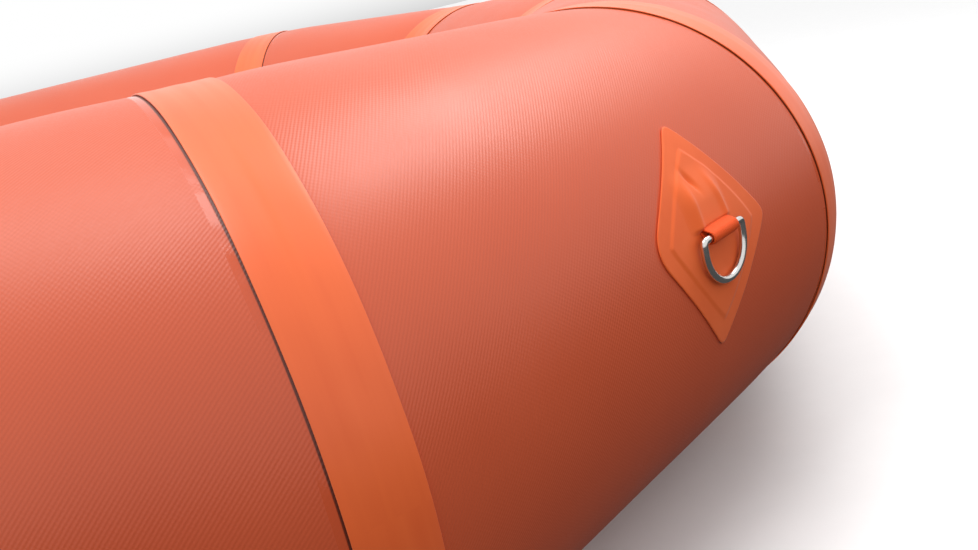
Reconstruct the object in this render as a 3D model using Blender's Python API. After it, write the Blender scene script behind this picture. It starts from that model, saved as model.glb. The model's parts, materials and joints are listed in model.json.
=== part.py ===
"""Inflatable river raft: two air chambers of mitred fabric tubes in a round-ended loop.

Frame: metres, X runs fore and aft with the bow at +X, Y to port, Z up. The origin is under the
middle of the raft, on the surface it lies on. The hull is a closed loop of ten tubes that turns
36 degrees at each of ten joints. Going round the loop counter-clockwise, seen from above, the
outside of the raft is always on the right. Every joint has a seam tape. Six D-ring stations sit
on the outside, and five air valves serve two hull chambers, two thwarts and the floor.
"""
import math

import bpy
import bmesh
import numpy as np
from mathutils import Vector

# Driving dimensions, in metres
SIDE_LENGTH = 1.80          # straight side tube, between its two joints
END_SEGMENT = 0.35          # each of the four tubes of an end, between its joints
TUBE_RADIUS = 0.200         # side tubes
NOSE_RADIUS = 0.176         # the tubes of the bow and stern taper down to this
FABRIC = 0.0012             # coated fabric
GAP = 0.0003                # between pieces that touch
TUBE_FACETS = 32

TAPE_WIDTH = 0.045
TAPE_THICKNESS = 0.0010

FLOOR_THICKNESS = 0.100
FLOOR_BEAMS = 5
FLOOR_BEAM_DIP = 0.012      # depth of the valleys between the floor's beams
FLOOR_FIT = 0.0015          # floor edge to hull tube

THWART_RADIUS = 0.125
THWART_FACETS = 24
THWART_OFFSET = 0.34        # each thwart fore or aft of the middle
THWART_FLOOR_CLEARANCE = 0.012
THWART_FIT = 0.0010         # thwart end to side tube

BAFFLE_THICKNESS = 0.0012

STATION_ANGLE = math.radians(10.2)   # above the widest line of the tube
STATION_PLACE = 0.620                # share of a corner tube, from the side tube's joint
PATCH_AROUND = 0.150
PATCH_ALONG = 0.126
PATCH_TIP = 0.006
PATCH_THICKNESS = 0.0012
PATCH_LIFT = 0.0006
WEB_WIDTH = 0.030
WEB_THICKNESS = 0.0014
WEB_TAIL = 0.030            # webbing under the patch
RING_WIRE = 0.0050
RING_SIDE_FIT = 0.0060      # ring to webbing edge
RING_INSIDE_CORNER = 0.0005  # bend on the wire's inner side, beside the bar
RING_DEPTH = 0.0320         # wire centre of the bar to wire centre of the bow
RING_CLEARANCE = 0.0055     # bar's underside above the tube's surface
MOUTH_BELOW = 0.0010
MOUTH_ABOVE = 0.0085
MOUTH_FIT = 0.0015

VALVE_FLANGE_RADIUS = 0.027
VALVE_FLANGE_THICKNESS = 0.0030
VALVE_BARREL_RADIUS = 0.0190
VALVE_BARREL_DEPTH = 0.0200
VALVE_BORE_RADIUS = 0.0150
VALVE_WEB_THICKNESS = 0.0025
VALVE_STEM_RADIUS = 0.0030
VALVE_STEM_FIT = 0.0004
VALVE_BUTTON_RADIUS = 0.0060
VALVE_DISC_RADIUS = 0.0120
VALVE_STROKE = 0.0060
VALVE_HOLE_FIT = 0.0005
VALVE_FACETS = 16
VALVE_ANGLE = math.radians(125)      # on a hull tube, just inboard of its top
VALVE_PLACE_FROM_STERN = 0.22        # share of the side tube's length
THWART_VALVE_PLACE = 0.22            # out from the raft's middle line
FLOOR_VALVE_X = -0.72
CAP_RADIUS = 0.0225
CAP_THICKNESS = 0.0030
CAP_RIM_DEPTH = 0.0020
CAP_RIM_FIT = 0.0018        # lets the rim swing out of the bore
HINGE_KNUCKLE_RADIUS = 0.0022
HINGE_KNUCKLE_LENGTH = 0.0080
HINGE_PIN_RADIUS = 0.0009
HINGE_LUG_LENGTH = 0.0030
HINGE_FIT = 0.0003

TURN = math.radians(36)
HALF_WIDTH = END_SEGMENT * (math.sin(TURN) + math.sin(2 * TURN))
TUBE_HEIGHT = TUBE_RADIUS + GAP + TAPE_THICKNESS
MITRE = math.cos(TURN / 2)
RING_CORNER = RING_WIRE / 2 + RING_INSIDE_CORNER    # of the wire's middle line
RING_STANDOFF = RING_WIRE / 2 + RING_CLEARANCE      # bar's middle line above the tube

FABRIC_ORANGE = (0.76, 0.22, 0.11)
TAPE_ORANGE = (0.93, 0.26, 0.11)
WEB_ORANGE = (0.98, 0.15, 0.02)
FLOOR_GREY = (0.30, 0.31, 0.33)
STEEL = (0.72, 0.72, 0.74)
VALVE_BLACK = (0.02, 0.02, 0.022)


def clear_scene():
    """Removes whatever the file held before."""
    for obj in list(bpy.data.objects):
        bpy.data.objects.remove(obj, do_unlink=True)


def material(name, colour, roughness, metallic=0.0):
    """A Principled material in one plain colour."""
    made = bpy.data.materials.new(name)
    made.use_nodes = True
    shader = made.node_tree.nodes["Principled BSDF"]
    shader.inputs["Base Color"].default_value = (*colour, 1.0)
    shader.inputs["Roughness"].default_value = roughness
    shader.inputs["Metallic"].default_value = metallic
    made.diffuse_color = (*colour, 1.0)
    return made


def add_object(name, points, faces, finish, smooth=True, origin=None):
    """A closed mesh with its faces turned outward, its origin where the piece turns."""
    centre = Vector(origin) if origin is not None else Vector((0.0, 0.0, 0.0))
    mesh = bpy.data.meshes.new(name)
    mesh.from_pydata([Vector(p) - centre for p in points], [], faces)
    shape = bmesh.new()
    shape.from_mesh(mesh)
    bmesh.ops.recalc_face_normals(shape, faces=shape.faces)
    shape.to_mesh(mesh)
    shape.free()
    mesh.materials.append(finish)
    if smooth:
        mesh.shade_smooth()
        mesh.set_sharp_from_angle(angle=math.radians(35))
    made = bpy.data.objects.new(name, mesh)
    made.location = centre
    bpy.context.scene.collection.objects.link(made)
    return made


def apply_boolean(obj, cutter, operation):
    """Cuts or joins another solid into obj and discards the other solid."""
    step = obj.modifiers.new(operation.lower(), "BOOLEAN")
    step.operation = operation
    step.solver = "EXACT"
    step.object = cutter
    bpy.context.view_layer.update()
    evaluated = obj.evaluated_get(bpy.context.evaluated_depsgraph_get())
    result = bpy.data.meshes.new_from_object(evaluated)
    obj.modifiers.clear()
    obj.data = result
    bpy.data.objects.remove(cutter, do_unlink=True)


def loop_joints():
    """The ten joints of the hull in order: place, heading half way through the turn, radius."""
    joints = []
    place = np.array([SIDE_LENGTH / 2, -HALF_WIDTH, TUBE_HEIGHT])
    radii = [TUBE_RADIUS, NOSE_RADIUS, NOSE_RADIUS, NOSE_RADIUS, TUBE_RADIUS] * 2
    for number in range(10):
        heading = number * TURN
        joints.append((place.copy(), heading + TURN / 2, radii[number]))
        after = heading + TURN
        length = SIDE_LENGTH if number in (4, 9) else END_SEGMENT
        place = place + length * np.array([math.cos(after), math.sin(after), 0.0])
    return joints


JOINTS = loop_joints()


def ring_points(joint, angles, lift=0.0):
    """Points round a joint, in its mitre plane. Angle 0 is the outside and 90 degrees the top."""
    place, heading, radius = JOINTS[joint % 10]
    outward = np.array([math.sin(heading), -math.cos(heading), 0.0])
    upward = np.array([0.0, 0.0, 1.0])
    angles = np.atleast_1d(angles)[:, None]
    return place + (radius + lift) * (np.cos(angles) * outward / MITRE + np.sin(angles) * upward)


def advance(start, end, distance):
    """Points that lie a distance from start, on the lines from start to end."""
    span = end - start
    return start + span * (distance / np.linalg.norm(span, axis=1))[:, None]


def facet_angles(count):
    """Equal angles round a tube, with no corner at its top, bottom or sides."""
    return (np.arange(count) + 0.5) * 2 * math.pi / count


def stitch_rings(rings, closed_path):
    """Faces between rings of equal count, one after another."""
    count = len(rings[0])
    points = [tuple(p) for ring in rings for p in ring]
    faces = []
    pairs = len(rings) if closed_path else len(rings) - 1
    for level in range(pairs):
        first = level * count
        second = ((level + 1) % len(rings)) * count
        for k in range(count):
            turn = (k + 1) % count
            faces.append((first + k, first + turn, second + turn, second + k))
    if not closed_path:
        faces.append(tuple(reversed(range(count))))
        faces.append(tuple(range((len(rings) - 1) * count, len(rings) * count)))
    return points, faces


def hull_tube(name, joint, finish):
    """One open-ended tube of the loop, cut on both mitre planes, with a ring at each tape's edge."""
    angles = facet_angles(TUBE_FACETS)
    rings = []
    for lift, reverse in ((0.0, False), (-FABRIC, True)):
        start = ring_points(joint, angles, lift)
        end = ring_points(joint + 1, angles, lift)
        skin = [advance(start, end, GAP), advance(start, end, TAPE_WIDTH / 2),
                advance(end, start, TAPE_WIDTH / 2), advance(end, start, GAP)]
        rings += skin[::-1] if reverse else skin
    points, faces = stitch_rings(rings, closed_path=True)
    return add_object(name, points, faces, finish)


def seam_tape(name, joint, finish):
    """A band wrapped over a joint, half on each tube, its edges parallel to the mitre plane."""
    angles = facet_angles(TUBE_FACETS)
    rings = []
    for lift, reverse in ((GAP, False), (GAP + TAPE_THICKNESS, True)):
        middle = ring_points(joint, angles, lift)
        before = advance(middle, ring_points(joint - 1, angles, lift), TAPE_WIDTH / 2)
        after = advance(middle, ring_points(joint + 1, angles, lift), TAPE_WIDTH / 2)
        band = [before, middle, after]
        rings += band[::-1] if reverse else band
    points, faces = stitch_rings(rings, closed_path=True)
    return add_object(name, points, faces, finish)


def chamber_baffle(name, joint, finish):
    """A fabric wall across the hull, inside an end's middle joint."""
    angles = facet_angles(TUBE_FACETS)
    lift = -FABRIC - GAP
    middle = ring_points(joint, angles, lift)
    before = advance(middle, ring_points(joint - 1, angles, lift), BAFFLE_THICKNESS / 2)
    after = advance(middle, ring_points(joint + 1, angles, lift), BAFFLE_THICKNESS / 2)
    points, faces = stitch_rings([before, after], closed_path=False)
    return add_object(name, points, faces, finish, smooth=False)


def tube_surface(joint, place, angle, lift):
    """The smooth surface of a hull tube, at a share of its length and an angle round it."""
    start = ring_points(joint, angle, lift)
    end = ring_points(joint + 1, angle, lift)
    return start + (end - start) * np.atleast_1d(place)[:, None]


def station_map(joint, place):
    """Turns (along, around, above) offsets in metres at a D-ring station into points."""
    line = ring_points(joint + 1, STATION_ANGLE) - ring_points(joint, STATION_ANGLE)
    length = float(np.linalg.norm(line))
    radius = JOINTS[joint % 10][2] * (1 - place) + JOINTS[(joint + 1) % 10][2] * place

    def to_points(along, around, above):
        along, around, above = np.broadcast_arrays(along, around, above)
        out = []
        for a, b, n in zip(along.ravel(), around.ravel(), above.ravel()):
            out.append(tube_surface(joint, place + a / length, STATION_ANGLE + b / radius, n)[0])
        return np.array(out)

    return to_points


def patch_rows():
    """Distances round the tube at which the patch has a row of points, and which are raised."""
    tent_end = WEB_TAIL + 0.002
    below = np.linspace(-PATCH_AROUND / 2, -MOUTH_BELOW, 6)
    tent = np.linspace(MOUTH_ABOVE, tent_end, 4)
    above = np.linspace(tent_end + 0.012, PATCH_AROUND / 2, 3)
    rows = np.concatenate([below, tent, above])
    raised = (rows >= MOUTH_ABOVE) & (rows <= tent_end)
    return rows, raised


def dring_patch(name, joint, place, finish):
    """A diamond patch with a raised middle over the webbing and a mouth where it comes out."""
    to_points = station_map(joint, place)
    rows, raised = patch_rows()
    plateau = WEB_WIDTH / 2 + MOUTH_FIT
    tent = 2 * WEB_THICKNESS + 3 * GAP
    bottom = []
    top = []
    for around, high in zip(rows, raised):
        share = 1 - abs(around) / (PATCH_AROUND / 2)
        half = PATCH_TIP + (PATCH_ALONG / 2 - PATCH_TIP) * share
        inner = min(plateau, 0.6 * half)
        along = np.array([-half, -(half + inner) / 2, -inner, 0.0, inner, (half + inner) / 2, half])
        lift = np.where(np.abs(along) <= inner + 1e-9, tent if high else 0.0, 0.0) + PATCH_LIFT
        bottom.append(to_points(along, around, lift))
        top.append(to_points(along, around, lift + PATCH_THICKNESS))
    last_below = int(np.argmax(raised)) - 1
    mouth = {(last_below, 2), (last_below, 3)}
    points, faces = plate_with_mouth(np.array(bottom), np.array(top), mouth)
    return add_object(name, points, faces, finish)


def plate_with_mouth(bottom, top, missing):
    """A plate between two grids of points, without the cells named in missing."""
    rows, columns = bottom.shape[:2]
    points = [tuple(p) for p in bottom.reshape(-1, 3)] + [tuple(p) for p in top.reshape(-1, 3)]
    above = rows * columns
    faces = []
    edges = {}
    for i in range(rows - 1):
        for j in range(columns - 1):
            if (i, j) in missing:
                continue
            corner = i * columns + j
            quad = (corner, corner + 1, corner + columns + 1, corner + columns)
            faces.append(tuple(reversed(quad)))
            faces.append(tuple(index + above for index in quad))
            for k in range(4):
                edge = (quad[k], quad[(k + 1) % 4])
                edges[edge] = edges.get(edge, 0) + 1
    for first, second in edges:
        if (second, first) not in edges:
            faces.append((first, second, second + above, first + above))
    used = sorted({index for face in faces for index in face})
    renumber = {index: k for k, index in enumerate(used)}
    faces = [tuple(renumber[index] for index in face) for face in faces]
    return [points[index] for index in used], faces


def tangent_angle(around, above, bend, side):
    """Where a straight run from a point of the tail touches the bend round the ring's bar."""
    rise = above - RING_STANDOFF
    toward = math.atan2(rise, around)
    return toward + side * math.acos(bend / math.hypot(around, rise))


def hairpin_path():
    """The webbing's middle line: up under the patch, round the ring's bar and back, as (b, n)."""
    bend = RING_WIRE / 2 + GAP + WEB_THICKNESS / 2
    lower = PATCH_LIFT + WEB_THICKNESS / 2
    upper = lower + WEB_THICKNESS + GAP
    tails = np.linspace(WEB_TAIL, MOUTH_ABOVE - MOUTH_FIT, 4)
    start = tangent_angle(tails[-1], lower, bend, -1)
    end = tangent_angle(tails[-1], upper, bend, 1) - 2 * math.pi
    wrap = np.linspace(start, end, 12)
    path = [(b, lower) for b in tails]
    path += [(bend * math.cos(a), RING_STANDOFF + bend * math.sin(a)) for a in wrap]
    path += [(b, upper) for b in tails[::-1]]
    return np.array(path)


def webbing_loop(name, joint, place, finish):
    """A strap folded round the ring's bar, its two tails lying under the patch."""
    to_points = station_map(joint, place)
    path = hairpin_path()
    step = np.gradient(path, axis=0)
    step /= np.linalg.norm(step, axis=1)[:, None]
    side = np.stack([-step[:, 1], step[:, 0]], axis=1) * WEB_THICKNESS / 2
    left = path + side
    right = path - side
    half = WEB_WIDTH / 2
    rings = []
    for a, b in zip(left, right):
        ring = to_points(np.array([-half, half, half, -half]),
                         np.array([a[0], a[0], b[0], b[0]]),
                         np.array([a[1], a[1], b[1], b[1]]))
        rings.append(ring)
    points, faces = stitch_rings(rings, closed_path=False)
    return add_object(name, points, faces, finish)


def ring_outline():
    """Half of the D's wire middle line as (along, down), from the bar's middle to its bow."""
    half = WEB_WIDTH / 2 + RING_SIDE_FIT + RING_WIRE / 2
    corner = RING_CORNER
    turn = np.linspace(math.pi / 2, 0.0, 4)
    corners = [(half - corner + corner * math.cos(a), corner - corner * math.sin(a)) for a in turn]
    sweep = np.linspace(0.0, math.pi / 2, 7)
    straight = RING_DEPTH - half
    bow = [(half * math.cos(a), straight + half * math.sin(a)) for a in sweep]
    return [(0.0, 0.0)] + corners + bow


def steel_ring(name, joint, place, finish):
    """A D of round wire, its bar in the webbing and its bow hanging down against the patch."""
    to_points = station_map(joint, place)
    centre = to_points(0.0, 0.0, RING_STANDOFF)[0]
    bar = to_points(0.01, 0.0, RING_STANDOFF)[0] - centre
    bar /= np.linalg.norm(bar)
    down = np.array([0.0, 0.0, -1.0])
    down -= bar * down.dot(bar)
    down /= np.linalg.norm(down)
    out = np.cross(down, bar)
    half = ring_outline()
    path = half + [(-a, d) for a, d in half[-2:0:-1]]
    path = np.array(path)
    step = np.roll(path, -1, axis=0) - np.roll(path, 1, axis=0)
    step /= np.linalg.norm(step, axis=1)[:, None]
    side = np.stack([step[:, 1], -step[:, 0]], axis=1)
    angles = facet_angles(8)
    radius = RING_WIRE / 2
    rings = []
    for point, normal in zip(path, side):
        middle = centre + bar * point[0] + down * point[1]
        across = bar * normal[0] + down * normal[1]
        ring = [middle + radius * (math.cos(a) * across + math.sin(a) * out) for a in angles]
        rings.append(ring)
    points, faces = stitch_rings(rings, closed_path=True)
    return add_object(name, points, faces, finish, origin=centre)


def floor_outline(height, inset):
    """The floor's outline in plan, where the hull's inner side stands at that height."""
    corners = []
    drop = TUBE_HEIGHT - height
    for place, heading, radius in JOINTS:
        reach = (math.sqrt(radius ** 2 - drop ** 2) + FLOOR_FIT + inset) / MITRE
        inward = np.array([-math.sin(heading), math.cos(heading), 0.0])
        corners.append(place + inward * reach)
    return np.array(corners)[:, :2]


def floor_block(name, inset, finish):
    """The floor's outline as a block with a beamed top, made smaller by inset on every side."""
    outline = floor_outline(FLOOR_THICKNESS, inset)
    bottom = inset
    top = FLOOR_THICKNESS + 0.01
    rings = [[(x, y, z) for x, y in outline] for z in (bottom, top)]
    points, faces = stitch_rings(rings, closed_path=False)
    block = add_object(name, points, faces, finish, smooth=False)
    beams = beam_profile(inset)
    reach = SIDE_LENGTH
    rings = [[(x, y, z) for y, z in beams] for x in (-reach, reach)]
    points, faces = stitch_rings(rings, closed_path=False)
    cutter = add_object(name + "_beams", points, faces, finish, smooth=False)
    apply_boolean(block, cutter, "INTERSECT")
    return block


def beam_profile(inset):
    """Cross-section of the floor's beams: a flat bottom and a row of arcs on top."""
    half = HALF_WIDTH
    width = 2 * half / FLOOR_BEAMS
    profile = [(-half, -0.01), (half, -0.01)]
    for beam in range(FLOOR_BEAMS):
        for share in (0.0, 0.25, 0.5, 0.75):
            y = half - (beam + share) * width
            rise = math.sin(math.pi * share) * FLOOR_BEAM_DIP
            profile.append((y, FLOOR_THICKNESS - FLOOR_BEAM_DIP + rise - inset))
    profile.append((-half, FLOOR_THICKNESS - FLOOR_BEAM_DIP - inset))
    return profile


def cylinder(name, centre, direction, radius, low, high, finish, facets=VALVE_FACETS):
    """A plain cylinder along a direction, between two distances from a centre."""
    centre = np.array(centre, dtype=float)
    axis, across, other = valve_axes(direction)
    rings = []
    for height in (low, high):
        ring = []
        for a in facet_angles(facets):
            ring.append(centre + axis * height + radius * (math.cos(a) * across + math.sin(a) * other))
        rings.append(ring)
    points, faces = stitch_rings(rings, closed_path=False)
    return add_object(name, points, faces, finish, smooth=False)


def inflatable_floor(name, finish):
    """The floor mattress: a hollow beamed block with a hole for its valve."""
    block = floor_block(name, 0.0, finish)
    hollow = floor_block(name + "_hollow", FABRIC, finish)
    apply_boolean(block, hollow, "DIFFERENCE")
    hole = valve_hole(name + "_hole", floor_valve_place(), finish)
    apply_boolean(block, hole, "DIFFERENCE")
    return block


def thwart_height():
    return FLOOR_THICKNESS + THWART_FLOOR_CLEARANCE + THWART_RADIUS


def thwart_ring(x, side, radius, wall):
    """An end of a thwart: each line of the tube runs out to the side tube it meets."""
    ring = []
    for a in facet_angles(THWART_FACETS):
        height = thwart_height() + radius * math.sin(a)
        drop = height - TUBE_HEIGHT
        reach = HALF_WIDTH - math.sqrt((TUBE_RADIUS + THWART_FIT) ** 2 - drop ** 2) - wall
        ring.append((x + radius * math.cos(a), side * reach, height))
    return ring


def ladder_cap(first, count):
    """Faces across a ring between points of equal height."""
    faces = []
    quarter = count // 4
    for k in range(-quarter, quarter - 1):
        low = (k % count, (k + 1) % count)
        high = ((count // 2 - 2 - k) % count, (count // 2 - 1 - k) % count)
        faces.append(tuple(first + index for index in (low[0], low[1], high[0], high[1])))
    return faces


def thwart_skin(name, x, radius, wall, finish):
    """A closed skin of the thwart, its ends cut to the side tubes' curve."""
    rings = [thwart_ring(x, side, radius, wall) for side in (-1, 1)]
    points, faces = stitch_rings(rings, closed_path=False)
    faces = faces[:-2] + ladder_cap(0, THWART_FACETS) + ladder_cap(THWART_FACETS, THWART_FACETS)
    return add_object(name, points, faces, finish)


def thwart(name, x, finish):
    """A hollow cross tube between the side tubes, with a hole for its valve."""
    skin = thwart_skin(name, x, THWART_RADIUS, 0.0, finish)
    hollow = thwart_skin(name + "_hollow", x, THWART_RADIUS - FABRIC, FABRIC, finish)
    apply_boolean(skin, hollow, "DIFFERENCE")
    hole = valve_hole(name + "_hole", thwart_valve_place(x), finish)
    apply_boolean(skin, hole, "DIFFERENCE")
    return skin


def valve_axes(direction):
    """The outward direction of a valve and two directions across it, the first to its hinge."""
    axis = np.array(direction, dtype=float)
    axis /= np.linalg.norm(axis)
    across = np.array([1.0, 0.0, 0.0])
    across -= axis * across.dot(axis)
    across /= np.linalg.norm(across)
    return axis, across, np.cross(axis, across)


def hull_valve_place(side):
    """Seat and direction of a hull valve: side is -1 for starboard and 1 for port."""
    angle = VALVE_ANGLE
    out = np.array([0.0, side * math.cos(angle), math.sin(angle)])
    x = SIDE_LENGTH * (VALVE_PLACE_FROM_STERN - 0.5)
    centre = np.array([x, side * HALF_WIDTH, TUBE_HEIGHT]) + out * (TUBE_RADIUS + GAP)
    return centre, out


def thwart_valve_place(x):
    centre = np.array([x, THWART_VALVE_PLACE, thwart_height() + THWART_RADIUS + GAP])
    return centre, np.array([0.0, 0.0, 1.0])


def floor_valve_place():
    centre = np.array([FLOOR_VALVE_X, 0.0, FLOOR_THICKNESS + GAP])
    return centre, np.array([0.0, 0.0, 1.0])


def valve_hole(name, seat, finish):
    """The round hole that a valve's barrel passes through."""
    centre, direction = seat
    radius = VALVE_BARREL_RADIUS + VALVE_HOLE_FIT
    return cylinder(name, centre, direction, radius, -2 * FLOOR_BEAM_DIP, 0.01, finish)


def turned(name, seat, profile, finish, facets=VALVE_FACETS, origin=None):
    """A turned piece: profile is a closed list of (radius, height), radius 0 on the axis."""
    centre, direction = seat
    axis, across, other = valve_axes(direction)
    angles = facet_angles(facets)
    points = []
    starts = []
    for radius, height in profile:
        starts.append(len(points))
        middle = centre + axis * height
        if radius == 0.0:
            points.append(tuple(middle))
            continue
        for a in angles:
            points.append(tuple(middle + radius * (math.cos(a) * across + math.sin(a) * other)))
    faces = []
    for k in range(len(profile)):
        after = (k + 1) % len(profile)
        first_solid = profile[k][0] > 0.0
        second_solid = profile[after][0] > 0.0
        for j in range(facets):
            turn = (j + 1) % facets
            if first_solid and second_solid:
                faces.append((starts[k] + j, starts[k] + turn, starts[after] + turn, starts[after] + j))
            elif first_solid:
                faces.append((starts[k] + j, starts[k] + turn, starts[after]))
            elif second_solid:
                faces.append((starts[k], starts[after] + turn, starts[after] + j))
    return add_object(name, points, faces, finish, origin=origin)


def hinge_centre(seat):
    """The middle of the cap's hinge pin, just outside the cap and above the flange."""
    centre, direction = seat
    axis, across, other = valve_axes(direction)
    reach = CAP_RADIUS + HINGE_FIT + HINGE_KNUCKLE_RADIUS
    height = VALVE_FLANGE_THICKNESS + GAP + HINGE_KNUCKLE_RADIUS
    return centre + across * reach + axis * height, other


def valve_body(name, seat, finish):
    """Flange, barrel and inner web with a stem hole, and two lugs for the cap's pin."""
    stem_hole = VALVE_STEM_RADIUS + VALVE_STEM_FIT
    floor = -VALVE_BARREL_DEPTH
    profile = [
        (VALVE_BORE_RADIUS, VALVE_FLANGE_THICKNESS),
        (VALVE_FLANGE_RADIUS, VALVE_FLANGE_THICKNESS),
        (VALVE_FLANGE_RADIUS, 0.0),
        (VALVE_BARREL_RADIUS, 0.0),
        (VALVE_BARREL_RADIUS, floor),
        (stem_hole, floor),
        (stem_hole, floor + VALVE_WEB_THICKNESS),
        (VALVE_BORE_RADIUS, floor + VALVE_WEB_THICKNESS),
    ]
    body = turned(name, seat, profile, finish)
    pin_centre, pin_axis = hinge_centre(seat)
    start = HINGE_KNUCKLE_LENGTH / 2 + HINGE_FIT
    for side in (-1, 1):
        low, high = sorted((side * start, side * (start + HINGE_LUG_LENGTH)))
        lug = lug_block(name + "_lug", seat, low, high, finish)
        apply_boolean(body, lug, "UNION")
    reach = start + HINGE_LUG_LENGTH + 0.001
    pin_hole = cylinder(name + "_pin_hole", pin_centre, pin_axis, HINGE_PIN_RADIUS + HINGE_FIT,
                        -reach, reach, finish, facets=8)
    apply_boolean(body, pin_hole, "DIFFERENCE")
    return body


def lug_block(name, seat, low, high, finish):
    """A small ear on the flange, rounded over the pin, that carries one end of the cap's pin."""
    pin_centre, pin_axis = hinge_centre(seat)
    axis, across, other = valve_axes(seat[1])
    foot = HINGE_KNUCKLE_RADIUS + GAP + VALVE_FLANGE_THICKNESS / 2
    outline = [(-HINGE_KNUCKLE_RADIUS, -foot), (HINGE_KNUCKLE_RADIUS, -foot)]
    for a in np.linspace(0.0, math.pi, 6):
        outline.append((HINGE_KNUCKLE_RADIUS * math.cos(a), HINGE_KNUCKLE_RADIUS * math.sin(a)))
    rings = []
    for place in (low, high):
        rings.append([pin_centre + across * a + axis * h + other * place for a, h in outline])
    points, faces = stitch_rings(rings, closed_path=False)
    return add_object(name, points, faces, finish, smooth=False)


def valve_cap(name, seat, finish):
    """A lid with a rim that enters the bore, and a knuckle with a pin in the body's lugs."""
    base = VALVE_FLANGE_THICKNESS + GAP
    top = base + CAP_THICKNESS
    rim = VALVE_BORE_RADIUS - CAP_RIM_FIT
    profile = [
        (0.0, base),
        (rim - 0.002, base),
        (rim - 0.002, base - CAP_RIM_DEPTH),
        (rim, base - CAP_RIM_DEPTH),
        (rim, base),
        (CAP_RADIUS, base),
        (CAP_RADIUS, top - 0.001),
        (CAP_RADIUS - 0.001, top),
        (0.0, top),
    ]
    pin_centre, pin_axis = hinge_centre(seat)
    cap = turned(name, seat, profile, finish, origin=pin_centre)
    arm = knuckle_block(name + "_arm", seat, finish)
    apply_boolean(cap, arm, "UNION")
    pin_reach = HINGE_KNUCKLE_LENGTH / 2 + HINGE_FIT + HINGE_LUG_LENGTH
    pin = cylinder(name + "_pin", pin_centre, pin_axis, HINGE_PIN_RADIUS,
                   -pin_reach, pin_reach, finish, facets=8)
    apply_boolean(cap, pin, "UNION")
    return cap


def knuckle_block(name, seat, finish):
    """The cap's knuckle: a half-round arm from inside the cap's edge out over the pin."""
    pin_centre, pin_axis = hinge_centre(seat)
    axis, across, other = valve_axes(seat[1])
    back = 2 * HINGE_KNUCKLE_RADIUS
    outline = [(-back, -0.6 * HINGE_KNUCKLE_RADIUS)]
    for a in np.linspace(-math.pi / 2, math.pi / 2, 6):
        outline.append((HINGE_KNUCKLE_RADIUS * math.cos(a), HINGE_KNUCKLE_RADIUS * math.sin(a)))
    outline.append((-back, 0.6 * HINGE_KNUCKLE_RADIUS))
    rings = []
    for place in (-HINGE_KNUCKLE_LENGTH / 2, HINGE_KNUCKLE_LENGTH / 2):
        rings.append([pin_centre + across * a + axis * h + other * place for a, h in outline])
    points, faces = stitch_rings(rings, closed_path=False)
    return add_object(name, points, faces, finish, smooth=False)


def valve_plunger(name, seat, finish):
    """A button on a stem through the body's web, with a sealing disc below the web."""
    web_bottom = -VALVE_BARREL_DEPTH
    web_top = web_bottom + VALVE_WEB_THICKNESS
    button_base = web_top + VALVE_STROKE + 0.001
    disc_top = web_bottom - GAP
    profile = [
        (0.0, disc_top - 0.002),
        (VALVE_DISC_RADIUS, disc_top - 0.002),
        (VALVE_DISC_RADIUS, disc_top),
        (VALVE_STEM_RADIUS, disc_top),
        (VALVE_STEM_RADIUS, button_base),
        (VALVE_BUTTON_RADIUS, button_base),
        (VALVE_BUTTON_RADIUS, button_base + 0.003),
        (0.0, button_base + 0.003),
    ]
    return turned(name, seat, profile, finish, facets=12, origin=seat[0])


def cut_hull_valve(tube, side, finish):
    """Opens a side tube for its valve."""
    hole = valve_hole(tube.name + "_hole", hull_valve_place(side), finish)
    apply_boolean(tube, hole, "DIFFERENCE")


def build_hull(finishes):
    """Ten tubes, their seam tapes and the two walls between the chambers."""
    tube_names = ["bow_corner_starboard", "bow_nose_starboard", "bow_nose_port", "bow_corner_port",
                  "side_tube_port", "stern_corner_port", "stern_nose_port",
                  "stern_nose_starboard", "stern_corner_starboard", "side_tube_starboard"]
    tubes = {}
    for joint, name in enumerate(tube_names):
        tubes[name] = hull_tube(name, joint, finishes["hull"])
    cut_hull_valve(tubes["side_tube_port"], 1, finishes["hull"])
    cut_hull_valve(tubes["side_tube_starboard"], -1, finishes["hull"])
    tape_names = ["bow_side_starboard", "bow_corner_starboard", "bow_middle", "bow_corner_port",
                  "bow_side_port", "stern_side_port", "stern_corner_port", "stern_middle",
                  "stern_corner_starboard", "stern_side_starboard"]
    for joint, name in enumerate(tape_names):
        seam_tape("tape_" + name, joint, finishes["tape"])
    chamber_baffle("baffle_bow", 2, finishes["baffle"])
    chamber_baffle("baffle_stern", 7, finishes["baffle"])


def build_stations(finishes):
    """Six D-ring stations: one on each corner tube and one on the middle of each side."""
    stations = [("bow_starboard", 0, STATION_PLACE), ("bow_port", 3, 1 - STATION_PLACE),
                ("side_port", 4, 0.5), ("stern_port", 5, STATION_PLACE),
                ("stern_starboard", 8, 1 - STATION_PLACE), ("side_starboard", 9, 0.5)]
    for name, joint, place in stations:
        dring_patch("patch_" + name, joint, place, finishes["tape"])
        webbing_loop("webbing_" + name, joint, place, finishes["webbing"])
        steel_ring("dring_" + name, joint, place, finishes["steel"])


def build_inside(finishes):
    """The floor and the two thwarts."""
    inflatable_floor("floor", finishes["floor"])
    thwart("thwart_fore", THWART_OFFSET, finishes["hull"])
    thwart("thwart_aft", -THWART_OFFSET, finishes["hull"])


def build_valves(finishes):
    """Five valves, each of three pieces."""
    seats = {"port": hull_valve_place(1), "starboard": hull_valve_place(-1),
             "thwart_fore": thwart_valve_place(THWART_OFFSET),
             "thwart_aft": thwart_valve_place(-THWART_OFFSET), "floor": floor_valve_place()}
    for name, seat in seats.items():
        valve_body("valve_body_" + name, seat, finishes["valve"])
        valve_cap("valve_cap_" + name, seat, finishes["valve"])
        valve_plunger("valve_plunger_" + name, seat, finishes["plunger"])


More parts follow.
